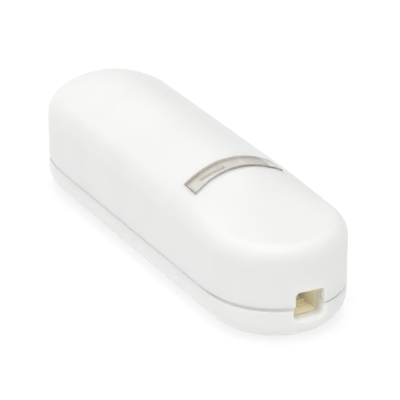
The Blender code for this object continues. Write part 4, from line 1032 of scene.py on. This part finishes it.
def make_base_shell():
    settings = bpy.context.scene.switch_housing
    rim = SEAM_HEIGHT - settings.seam_gap / 2
    edge = settings.rim_round
    lip = 0.2 * MM

    def shelf(x, y):
        return rim_height(x, y) - 0.04 * MM

    rings = [ring_at(HALF_WIDTH, FLOOR_THICKNESS), ring_at(BASE_WALL + 0.6 * MM, FLOOR_THICKNESS),
             ring_at(BASE_WALL, FLOOR_THICKNESS + 0.6 * MM), ring_at(BASE_WALL, TONGUE_TOP - lip),
             ring_at(BASE_WALL - lip, TONGUE_TOP), ring_at(TONGUE_OUTER + lip, TONGUE_TOP),
             ring_at(TONGUE_OUTER, TONGUE_TOP - lip), ring_at(TONGUE_OUTER, shelf),
             ring_at(LAP_INSET, shelf), ring_at(LAP_INSET, rim)]
    rings += [ring_at(out, rim - down) for out, down in quarter(edge, 4)[::-1]]
    steps = 16
    for i in range(steps + 1):
        turn = math.radians(90.0) * i / steps
        rings.append(ring_at(BOTTOM_ROUND * (1 - math.cos(turn)), BOTTOM_ROUND * (1 - math.sin(turn))))
    rings.append(ring_at(9.0 * MM, 0.0))
    rings.append(ring_at(HALF_WIDTH, 0.0))
    base = loft("base_shell_piece", rings)
    pillar_top = 3.7 * MM
    posts = [rod("pillar", 3.1 * MM, 1.5 * MM, pillar_top, (x, y, 0)) for x, y in PILLARS]
    posts += [rod("post", 2.0 * MM, 1.5 * MM, 9.0 * MM, (x, y, 0)) for x, y in POSTS]
    combine(base, posts, "UNION")
    cutters = []
    for x, y in PILLARS:
        well = [(0.0, -1.0 * MM), (2.8 * MM, -1.0 * MM), (2.8 * MM, 0.0), (2.5 * MM, 0.3 * MM),
                (2.5 * MM, 2.2 * MM), (1.4 * MM, 2.2 * MM), (1.4 * MM, pillar_top + 1.0 * MM),
                (0.0, pillar_top + 1.0 * MM)]
        cutters.append(lathe("well", well, (x, y, 0)))
    cutters += [rod("grip_hole", 1.3 * MM, 2.4 * MM, 10.0 * MM, (x, y, 0), 32) for x, y in POSTS]
    cutters += [entry_cutter(direction, settings.entry_scoop) for _, direction in ENDS]
    combine(base, cutters, "DIFFERENCE")
    return place(shade(base), "base", finish("housing"), ("base_shell",))


# Light guide -----------------------------------------------------------------------------------


def guide_band(name, rear_inset, front_inset, end_inset, top_drop, low_drop, edge):
    """A curved band under the crown, inset from the window's edges, with rounded upper edges."""
    section = [(True, rear_inset, low_drop)]
    section += [(True, rear_inset + out, top_drop - down) for out, down in quarter(edge, 4)]
    section += [(False, front_inset + out, top_drop - down) for out, down in quarter(edge, 4)[::-1]]
    section.append((False, front_inset, low_drop))
    rings = [[(arc_x(rear, inset, y), y, full_crown(0.0, y) + rise) for rear, inset, rise in section]
             for _, y in band_edge(True, end_inset)]
    return loft(name, rings, capped=True)


def make_light_guide():
    """The clear skin that fills the window."""
    settings = bpy.context.scene.switch_light_guide
    guide = guide_band("light_guide_piece", LENS_GAP, LENS_GAP, LENS_GAP, 0.0, -settings.skin, 0.06 * MM)
    return place(shade(guide, 30.0), "cover", finish("light_guide"), ("light_guide",))


def make_light_box():
    """The pale light box under the clear skin, with its flange, its leg, a groove and two cross ribs."""
    settings = bpy.context.scene.switch_light_guide
    gap = 0.1 * MM
    top = -settings.skin - 0.2 * MM
    flange_top = -(ROOF_THICKNESS + LENS_STEP * CROWN_RISE + 0.3 * MM)
    low = flange_top - 0.9 * MM
    far = 30.0 * MM

    def between(tool, y_low, y_high):
        return combine(tool, [block("keep", (0.0, y_low, 0.0), (far, y_high, far))], "INTERSECT")

    box = guide_band("light_guide_box", gap, gap, gap, top, low, 0.05 * MM)
    leg_x = LENS_BACK + 2.65 * MM
    combine(box, [guide_band("flange", -0.9 * MM, -0.9 * MM, gap, flange_top, low, 0.1 * MM),
                  block("leg", (leg_x - 1.6 * MM, -2.2 * MM, 8.1 * MM),
                        (leg_x + 1.6 * MM, 2.2 * MM, 23.0 * MM))],
            "UNION")
    tools = [block("groove", (GROOVE_X - 0.4 * MM, -7.6 * MM, 19.6 * MM),
                   (GROOVE_X + 0.4 * MM, FIRST_RIB_Y - RIB_HALF, far))]
    tools.append(between(guide_band("pocket", 0.25 * MM, 2.7 * MM, 0.6 * MM, top + 1.0 * MM, top - 1.6 * MM,
                                    0.05 * MM), FIRST_RIB_Y - 1.0 * MM, SECOND_RIB_Y - 1.3 * MM))
    tools.append(between(guide_band("tray", 0.6 * MM, 0.75 * MM, 0.6 * MM, top + 1.0 * MM, top - 0.35 * MM,
                                    0.05 * MM), SECOND_RIB_Y, LENS_LEFT_Y - 0.8 * MM))
    for y in (FIRST_RIB_Y, SECOND_RIB_Y):
        tools.append(block("slot", (18.9 * MM, y - 0.55 * MM, 21.0 * MM), (19.4 * MM, y + 0.55 * MM, far)))
    tools.append(block("corner", (19.4 * MM, LENS_RIGHT_Y + 0.25 * MM, 19.0 * MM),
                       (21.0 * MM, LENS_RIGHT_Y + 1.2 * MM, far)))
    combine(box, tools, "DIFFERENCE")
    ribs = [between(guide_band("rib", 0.3 * MM, 0.3 * MM, 0.5 * MM, -settings.skin - 0.03 * MM,
                               top - 0.4 * MM, 0.04 * MM), y - RIB_HALF, y + RIB_HALF)
            for y in (FIRST_RIB_Y, SECOND_RIB_Y)]
    combine(box, ribs, "UNION")
    return place(shade(box, 30.0), "cover", finish("light_box"))


# Touch electrode and spring --------------------------------------------------------------------


def make_touch_parts():
    """The copper disc that follows the dish, and the coil spring that carries its signal down."""
    settings = bpy.context.scene.switch_board
    low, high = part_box("touch_spring")
    centre = (low + high) / 2
    wire = settings.spring_wire
    radius = (high.x - low.x) / 2 - wire / 2
    bottom, top = low.z + wire / 2, high.z - wire / 2
    turns, per_turn, dead = 7.0, 32, 1.0
    dead_pitch = wire * 0.9
    points = []
    count = int(turns * per_turn) + 1
    for i in range(count):
        at = turns * i / (count - 1)
        rise = min(max((at - dead) / (turns - 2 * dead), 0.0), 1.0)
        closed = dead_pitch * (min(at, dead) + min(max(at - turns + dead, 0.0), dead))
        height = bottom + (top - bottom - 2 * dead * dead_pitch) * rise + closed
        turn = math.tau * at
        points.append((centre.x + radius * math.cos(turn), centre.y + radius * math.sin(turn), height))
    spring = grow("touch_spring_piece", swept_wire_tree(), paths_mesh("spring_path", [points]),
                  {"Wire Diameter": wire, "Sides": 12, "Material": finish("spring")})
    place(spring, BODY_OF_NODE["touch_spring"], finish("spring"), ("touch_spring",))
    refine("touch_electrode", 0.08 * MM, finish("copper"))


# Fixings ---------------------------------------------------------------------------------------


def make_screw(tree, node, place_xy, face, length, radius, head_radius, head_height, pitch, cross, upward):
    """One threaded screw for a node of the frame, with its head's outer face at a height."""
    settings = bpy.context.scene.switch_fixings
    arm = 1.15 * head_radius if cross else 2.6 * head_radius
    screw = grow(node + "_piece", tree, paths_mesh("screw_seed", [[(0, 0, 0)]]), {
        "Shank Radius": radius, "Length": length, "Head Radius": head_radius, "Head Height": head_height,
        "Pitch": pitch, "Thread Depth": settings.thread_depth, "Arm Length": arm,
        "Cross Length": arm if cross else 0.3 * head_radius, "Arm Width": 0.3 * head_radius,
        "Material": finish("screw")})
    if upward:
        screw.data.transform(Matrix.Rotation(math.pi, 4, "X"))
    screw.data.transform(Matrix.Translation((*place_xy, face)))
    shade(screw, 32.0)
    return place(screw, BODY_OF_NODE[node], finish("screw"), (node,))


def make_screws():
    settings = bpy.context.scene.switch_fixings
    tree = screw_tree()
    for end, direction in ENDS:
        for side, across in SIDES:
            name = f"{end}_{side}"
            make_screw(tree, "housing_screw_" + name, (direction * PILLAR_X, across * PILLAR_Y), 0.6 * MM,
                       13.0 * MM, 1.1 * MM, 2.2 * MM, 1.3 * MM, settings.coarse_pitch, True, True)
            for kind, radius, head_radius, head_height, pitch, cross in (
                ("cord_grip_screw_", 1.0 * MM, 1.9 * MM, 1.6 * MM, settings.coarse_pitch, True),
                ("terminal_screw_", 0.8 * MM, 1.5 * MM, 1.0 * MM, settings.fine_pitch, False),
            ):
                low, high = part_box(kind + name)
                centre = (low + high) / 2
                make_screw(tree, kind + name, (centre.x, centre.y), high.z, high.z - low.z, radius,
                           head_radius, head_height, pitch, cross, False)


def make_saddle(end, direction):
    """A trough for the cord: a ridged floor, and cheeks that are low beside the bar and high outside it."""
    def span(x_low, x_high, y_low, y_high, z_low, z_high):
        xs = sorted((direction * x_low, direction * x_high))
        return block("cheek", (xs[0], y_low, z_low), (xs[1], y_high, z_high))

    low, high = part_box("cord_saddle_" + end)
    inner, mouth, outer = 38.3 * MM, 44.1 * MM, HALF_LENGTH - BASE_WALL - 0.2 * MM
    half, cheek = high.y, 0.55 * MM
    floor, ridge_foot, ridge_top, low_cheek = 4.6 * MM, 4.2 * MM, 5.1 * MM, 9.7 * MM
    ridge_half, ridge_y = 0.4 * MM, half - 0.3 * MM
    trough = span(inner, outer, -half, half, low.z, floor)
    pieces = []
    for side in (1, -1):
        ys = sorted((side * (half - cheek), side * half))
        pieces.append(span(inner, outer, *ys, low.z, low_cheek))
        pieces.append(span(mouth, outer, *ys, low.z, high.z))
        pieces.append(span(outer - 0.5 * MM, outer + 1.1 * MM, *ys, TONGUE_TOP + 0.2 * MM, high.z))
    for i in range(3):
        ridge = 39.6 * MM + 1.9 * MM * i
        pieces.append(span(ridge - ridge_half, ridge + ridge_half, -ridge_y, ridge_y, ridge_foot, ridge_top))
    pieces.append(span(mouth, outer, -half + 0.2 * MM, half - 0.2 * MM, ridge_foot, 5.15 * MM))
    combine(trough, pieces, "UNION")
    trough.name = "cord_saddle_" + end + "_piece"
    round_edges(trough, 0.13 * MM, 3)
    return place(trough, "base", finish("cream"), ("cord_saddle_" + end,))


def make_cord_grips():
    for end, direction in ENDS:
        make_saddle(end, direction)
        refine("cord_grip_" + end, 0.3 * MM, finish("cream"), 3)


def make_terminals():
    for end, _ in ENDS:
        refine("terminal_block_" + end, 0.25 * MM, finish("grey"), 3)
        for side, _ in SIDES:
            refine(f"terminal_contact_{end}_{side}", 0.08 * MM, finish("brass"))
            refine(f"terminal_cage_{end}_{side}", 0.15 * MM, finish("brass"), 3)


# Relay -----------------------------------------------------------------------------------------


def make_relay():
    settings = bpy.context.scene.switch_board
    refine("relay_case", 0.5 * MM, finish("relay_case"), 4)
    refine("relay_base", 0.12 * MM, finish("black"))
    refine("relay_bobbin", 0.15 * MM, finish("black"))
    refine("relay_core", 0.15 * MM, finish("iron"))
    refine("relay_yoke", 0.12 * MM, finish("iron"))
    refine("relay_armature", 0.1 * MM, finish("iron"))
    refine("relay_moving_contact", 0.05 * MM, finish("copper"))
    refine("relay_fixed_contact", 0.06 * MM, finish("copper"))

    low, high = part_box("relay_coil")
    centre = (low + high) / 2
    wire = settings.coil_wire
    outer = (high.z - low.z) / 2
    length = high.x - low.x - wire
    pitch, per_turn = wire * 1.04, 24
    turns = int(length / pitch)
    points = []
    for i in range(turns * per_turn + 1):
        turn = math.tau * i / per_turn
        x = low.x + wire / 2 + length * i / (turns * per_turn)
        radius = outer - wire / 2
        points.append((x, centre.y + radius * math.cos(turn), centre.z + radius * math.sin(turn)))
    coil = grow("relay_coil_piece", swept_wire_tree(), paths_mesh("coil_path", [points]),
                {"Wire Diameter": wire, "Sides": 6, "Material": finish("winding")})
    bulk = outer - wire
    bore = 2.4 * MM
    body = lathe("bulk", [(bore, low.x), (bulk, low.x), (bulk, high.x), (bore, high.x), (bore, low.x)],
                 (0, centre.y, centre.z), 48, "X")
    shade(body)
    place(coil, BODY_OF_NODE["relay_coil"], finish("winding"), ("relay_coil",))
    body.name = "relay_coil_inner_layers"
    place(body, BODY_OF_NODE["relay_coil"], finish("winding"))


# Board and its parts ---------------------------------------------------------------------------


LEADS = {
    "filter_capacitor": [(-18.0, 4.6), (-8.0, 4.6)],
    "varistor": [(-1.0, 7.0), (-1.0, 3.0)],
    "smoothing_capacitor": [(3.45, 4.8), (6.95, 4.8)],
    "fuse": [(0.5, -6.0), (5.5, -6.0)],
    "bridge_rectifier": [(10.6, 0.8), (10.6, 4.0), (14.4, 0.8), (14.4, 4.0)],
    "dropper_resistor": [(9.0, 7.6), (17.4, 7.6)],
    "relay_base": [(-3.8, -2.0), (-3.8, -9.0), (-20.2, -2.0), (-20.2, -9.0)],
}

TRACKS = [
    [(-24.8, 2.55), (-22.6, 2.55), (-21.2, 4.6), (-18.0, 4.6)],
    [(-8.0, 4.6), (-5.4, 7.0), (-1.0, 7.0), (0.8, 9.2), (7.0, 9.2), (9.0, 7.6)],
    [(-1.0, 3.0), (1.0, 1.0), (1.0, -3.6), (0.5, -6.0)],
    [(5.5, -6.0), (8.0, -8.6), (21.0, -8.6), (24.8, -2.55)],
    [(6.95, 4.8), (8.4, 4.0), (10.6, 4.0)],
    [(3.45, 4.8), (3.45, 1.6), (10.6, 0.8)],
    [(14.4, 4.0), (17.4, 5.4), (17.4, 7.6), (21.0, 5.0), (24.8, 2.55)],
    [(-3.8, -2.0), (-1.6, 0.6), (8.6, -1.2), (10.0, -2.0)],
    [(14.4, 0.8), (16.0, -0.8), (16.0, -2.0)],
    [(30.0, 0.0), (27.0, 6.0), (22.0, 7.4), (20.0, 3.0), (18.8, 1.8)],
    [(-24.8, -2.55), (-22.0, -2.0), (-20.2, -2.0)],
]


def make_board():
    """The board with its solder mask, the tracks under it and a soldered pad at each lead."""
    settings = bpy.context.scene.switch_board
    refine("circuit_board", 0.08 * MM, finish("board"))
    level = BOARD_TOP + 0.015 * MM
    paths = [[(x * MM, y * MM, level) for x, y in track] for track in TRACKS]
    tracks = grow("board_tracks", track_tree(), paths_mesh("track_paths", paths),
                  {"Track Width": settings.track_width, "Track Height": 0.07 * MM,
                   "Material": finish("track")})
    place(tracks, "base", finish("track"))

    places = [(x * MM, y * MM) for leads in LEADS.values() for x, y in leads]
    for end, direction in ENDS:
        for side, _ in SIDES:
            low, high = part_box(f"terminal_contact_{end}_{side}")
            tail = low.x + 0.25 * MM if direction > 0 else high.x - 0.25 * MM
            places.append((tail, (low.y + high.y) / 2))
    for name, face, height, below in (("board_pads_above", BOARD_TOP, 0.1 * MM, False),
                                      ("board_joints_below", BOARD_BOTTOM, 0.75 * MM, True)):
        tree = pad_tree()
        mesh = bpy.data.meshes.new(name + "_points")
        mesh.from_pydata([(x, y, 0.0) for x, y in places], [], [])
        pads = grow(name, tree, mesh, {"Pad Radius": settings.pad_radius, "Pad Height": height,
                                       "Material": finish("solder")})
        if below:
            pads.data.transform(Matrix.Rotation(math.pi, 4, "X"))
            pads.data.transform(Matrix.Scale(-1.0, 4, (0, 1, 0)))
            pads.data.flip_normals()
        pads.data.transform(Matrix.Translation((0, 0, face)))
        place(pads, "base", finish("solder"))


def make_smoothing_capacitor():
    """A sleeved can with a rolled groove near its foot and a scored vent on top."""
    low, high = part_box("smoothing_capacitor")
    centre = (low + high) / 2
    radius = (high.y - low.y) / 2
    top = high.z
    groove = [(radius - 0.35 * MM * math.sin(math.pi * i / 8), SEAT + 1.2 * MM + 1.0 * MM * i / 8)
              for i in range(9)]
    profile = [(0.0, SEAT), (radius - 0.2 * MM, SEAT), (radius, SEAT + 0.2 * MM)] + groove
    profile += [(radius - out, top - 0.1 * MM - down) for out, down in quarter(0.5 * MM, 5)]
    profile += [(radius - 0.9 * MM, top - 0.1 * MM), (radius - 0.95 * MM, top - 0.25 * MM),
                (0.0, top - 0.25 * MM)]
    can = lathe("smoothing_capacitor_sleeve", profile, (centre.x, centre.y, 0), 64)
    leads = [rod("lead", 0.3 * MM, 3.0 * MM, SEAT + 0.3 * MM, (centre.x + side * 1.75 * MM, centre.y, 0), 16)
             for side in (1, -1)]
    combine(can, leads, "UNION")
    place(shade(can), "base", finish("sleeve"), ("smoothing_capacitor",))

    lid = lathe("smoothing_capacitor_top", [(0.0, top - 0.35 * MM), (radius - 0.97 * MM, top - 0.35 * MM),
                                            (radius - 0.97 * MM, top - 0.12 * MM),
                                            (radius - 1.1 * MM, top - 0.06 * MM), (0.0, top - 0.03 * MM)],
                (centre.x, centre.y, 0), 64)
    scores = []
    for across, along in ((2.3 * MM, 0.12 * MM), (0.12 * MM, 2.3 * MM)):
        scores.append(block("score", (centre.x - across, centre.y - along, top - 0.13 * MM),
                            (centre.x + across, centre.y + along, top + 1.0 * MM)))
    combine(lid, scores, "DIFFERENCE")
    place(shade(lid), "base", finish("can_top"))


def make_components():
    refine("filter_capacitor", 0.45 * MM, finish("film"), 4)
    refine("varistor", 0.35 * MM, finish("varistor"), 3, 25.0)
    refine("fuse", 0.2 * MM, finish("fuse"), 3)
    refine("bridge_rectifier", 0.25 * MM, finish("package"), 3)
    refine("control_chip", 0.08 * MM, finish("package"))
    refine("dropper_resistor", 0.15 * MM, finish("resistor"), 2, 25.0)
    refine("indicator_led", 0.15 * MM, finish("led"), 3)
    make_smoothing_capacitor()


# Stage -----------------------------------------------------------------------------------------


CAMERA_AZIMUTH = math.radians(-28.606)
CAMERA_ELEVATION = math.radians(25.025)
CAMERA_DISTANCE = 0.54345
CAMERA_TARGET = Vector((0.0, 0.0, 10.66 * MM))
LENS_LENGTH = 229.67
CAMERA_SHIFT = 0.0242
FLOOR_WANDER = 1 / 35
TOP_LIGHT_AT = (-0.05, 0.1, 0.9)
KEY_LIGHT_AT = (0.45, -0.2, 0.85)
ENTRY_LIGHT_COLOUR = (1.0, 0.94, 0.81)


def make_floor():
    settings = bpy.context.scene.switch_stage
    shape = bmesh.new()
    bmesh.ops.create_grid(shape, x_segments=1, y_segments=1, size=3.0)
    floor = from_bmesh("floor", shape, turn_out=False)
    floor.data.transform(Matrix.Translation((0, 0, -0.05 * MM)))
    made, tree, shader, where = new_finish("floor_paper", tuple(settings.floor_colour), 0.9)
    shader.inputs["Emission Color"].default_value = (1.0, 1.0, 1.0, 1.0)
    shader.inputs["Emission Strength"].default_value = settings.floor_glow
    shader.inputs["Specular IOR Level"].default_value = 0.0
    tint(tree, shader, noise(tree, where, 40.0), toned(settings.floor_colour, 1 - FLOOR_WANDER),
         toned(settings.floor_colour, 1 + FLOOR_WANDER))
    floor.data.materials.append(made)


def make_sky():
    """Soft light from all round, brighter overhead than at the horizon."""
    settings = bpy.context.scene.switch_stage
    world = bpy.data.worlds.new("studio")
    bpy.context.scene.world = world
    world.use_nodes = True
    tree = world.node_tree
    backdrop = tree.nodes["Background"]
    where = add_node(tree, "ShaderNodeTexCoord").outputs["Generated"]
    split = add_node(tree, "ShaderNodeSeparateXYZ", [("Vector", where)])
    ramp = add_node(tree, "ShaderNodeValToRGB")
    ramp.color_ramp.elements[0].position = 0.0
    ramp.color_ramp.elements[0].color = (0.8, 0.8, 0.795, 1.0)
    ramp.color_ramp.elements[1].position = 0.55
    ramp.color_ramp.elements[1].color = (1.0, 1.0, 1.0, 1.0)
    tree.links.new(split.outputs["Z"], ramp.inputs["Fac"])
    across = add_node(tree, "ShaderNodeMapRange",
                      [("Value", split.outputs["Y"]), ("From Min", 0.1), ("From Max", 0.9), ("To Min", 1.0),
                       ("To Max", 0.5)], interpolation_type="SMOOTHSTEP")
    dimmed = add_node(tree, "ShaderNodeVectorMath", operation="SCALE")
    tree.links.new(ramp.outputs["Color"], dimmed.inputs[0])
    tree.links.new(across.outputs["Result"], dimmed.inputs["Scale"])
    tree.links.new(dimmed.outputs[0], backdrop.inputs["Color"])
    backdrop.inputs["Strength"].default_value = settings.sky_strength


def make_light(name, place_at, aim, size, power, colour=(1.0, 1.0, 1.0)):
    light = bpy.data.lights.new(name, "AREA")
    light.shape = "DISK"
    light.size = size
    light.energy = power
    light.color = colour
    lamp = new_object(name, light)
    lamp.visible_camera = False
    lamp.location = place_at
    lamp.rotation_euler = (Vector(aim) - Vector(place_at)).to_track_quat("-Z", "Y").to_euler()


def make_camera():
    camera = bpy.data.cameras.new("camera")
    camera.sensor_width = 36.0
    camera.lens = LENS_LENGTH
    camera.shift_x = CAMERA_SHIFT
    camera.clip_start = 0.01
    camera.clip_end = 20.0
    rig = new_object("camera", camera)
    back = Vector((math.cos(CAMERA_ELEVATION) * math.cos(CAMERA_AZIMUTH),
                   math.cos(CAMERA_ELEVATION) * math.sin(CAMERA_AZIMUTH), math.sin(CAMERA_ELEVATION)))
    rig.location = CAMERA_TARGET + back * CAMERA_DISTANCE
    rig.rotation_euler = back.to_track_quat("Z", "Y").to_euler()
    bpy.context.scene.camera = rig


def make_stage():
    settings = bpy.context.scene.switch_stage
    make_floor()
    make_sky()
    make_light("top_light", TOP_LIGHT_AT, (0, 0, 0.01), 0.8, settings.top_power)
    make_light("key_light", KEY_LIGHT_AT, (0.02, 0, 0.01), 0.4, settings.key_power)
    for end, direction in ENDS:
        make_light("entry_light_" + end, (direction * 47.0 * MM, 0.0, 13.2 * MM),
                   (direction * GRIP_X, 0.0, 6.0 * MM), 5.0 * MM, settings.entry_power, ENTRY_LIGHT_COLOUR)
    make_camera()
    view = bpy.context.scene.view_settings
    view.view_transform = "Standard"
    view.look = "None"
    view.exposure = 0.0
    view.gamma = 1.0


# Operators, panel and start --------------------------------------------------------------------


class SWITCH_OT_housing(bpy.types.Operator):
    """Build the two shells of the housing."""

    bl_idname = "switch.housing"
    bl_label = "Housing"

    def execute(self, context):
        make_base_shell()
        make_upper_shell()
        return {"FINISHED"}


class SWITCH_OT_light_guide(bpy.types.Operator):
    """Build the clear light guide and the light box inside it."""

    bl_idname = "switch.light_guide"
    bl_label = "Light guide"

    def execute(self, context):
        make_light_guide()
        make_light_box()
        return {"FINISHED"}


class SWITCH_OT_touch_parts(bpy.types.Operator):
    """Build the touch electrode and its spring."""

    bl_idname = "switch.touch_parts"
    bl_label = "Touch electrode and spring"

    def execute(self, context):
        make_touch_parts()
        return {"FINISHED"}


class SWITCH_OT_screws(bpy.types.Operator):
    """Build the housing, cord grip and terminal screws."""

    bl_idname = "switch.screws"
    bl_label = "Screws"

    def execute(self, context):
        make_screws()
        return {"FINISHED"}


class SWITCH_OT_cord_grips(bpy.types.Operator):
    """Build the cord troughs and the bars that clamp the cord."""

    bl_idname = "switch.cord_grips"
    bl_label = "Cord grips"

    def execute(self, context):
        make_cord_grips()
        return {"FINISHED"}


class SWITCH_OT_terminals(bpy.types.Operator):
    """Build the terminal blocks, contacts and cages."""

    bl_idname = "switch.terminals"
    bl_label = "Terminals"

    def execute(self, context):
        make_terminals()
        return {"FINISHED"}


class SWITCH_OT_relay(bpy.types.Operator):
    """Build the relay and its wound coil."""

    bl_idname = "switch.relay"
    bl_label = "Relay"

    def execute(self, context):
        make_relay()
        return {"FINISHED"}


class SWITCH_OT_board(bpy.types.Operator):
    """Build the circuit board, its tracks and its soldered pads."""

    bl_idname = "switch.board"
    bl_label = "Circuit board"

    def execute(self, context):
        make_board()
        return {"FINISHED"}


class SWITCH_OT_components(bpy.types.Operator):
    """Build the capacitors, varistor, fuse and small parts on the board."""

    bl_idname = "switch.components"
    bl_label = "Board components"

    def execute(self, context):
        make_components()
        return {"FINISHED"}


class SWITCH_OT_stage(bpy.types.Operator):
    """Set up the floor, the soft light and the camera."""

    bl_idname = "switch.stage"
    bl_label = "Stage"

    def execute(self, context):
        make_stage()
        return {"FINISHED"}


OPERATORS = (SWITCH_OT_housing, SWITCH_OT_light_guide, SWITCH_OT_touch_parts, SWITCH_OT_screws,
             SWITCH_OT_cord_grips, SWITCH_OT_terminals, SWITCH_OT_relay, SWITCH_OT_board,
             SWITCH_OT_components, SWITCH_OT_stage)
SETTINGS = (("switch_housing", HousingSettings), ("switch_light_guide", LightGuideSettings),
            ("switch_fixings", FixingSettings), ("switch_board", BoardSettings),
            ("switch_stage", StageSettings))


class SWITCH_PT_panel(bpy.types.Panel):
    """The switch's settings and the buttons that build its pieces."""

    bl_idname = "SWITCH_PT_panel"
    bl_label = "Inline touch switch"
    bl_space_type = "VIEW_3D"
    bl_region_type = "UI"
    bl_category = "Switch"

    def draw(self, context):
        for name, group in SETTINGS:
            column = self.layout.column(heading=group.__name__)
            for field in group.__annotations__:
                column.prop(getattr(context.scene, name), field)
        for operator in OPERATORS:
            self.layout.operator(operator.bl_idname)


CLASSES = tuple(group for _, group in SETTINGS) + OPERATORS + (SWITCH_PT_panel,)


def register():
    for item in CLASSES:
        bpy.utils.register_class(item)
    for name, group in SETTINGS:
        setattr(bpy.types.Scene, name, bpy.props.PointerProperty(type=group))


def unregister():
    for name, _ in SETTINGS:
        delattr(bpy.types.Scene, name)
    for item in reversed(CLASSES):
        bpy.utils.unregister_class(item)


def main():
    register()
    for operator in OPERATORS:
        group, name = operator.bl_idname.split(".")
        getattr(getattr(bpy.ops, group), name)()


if __name__ == "__main__":
    main()
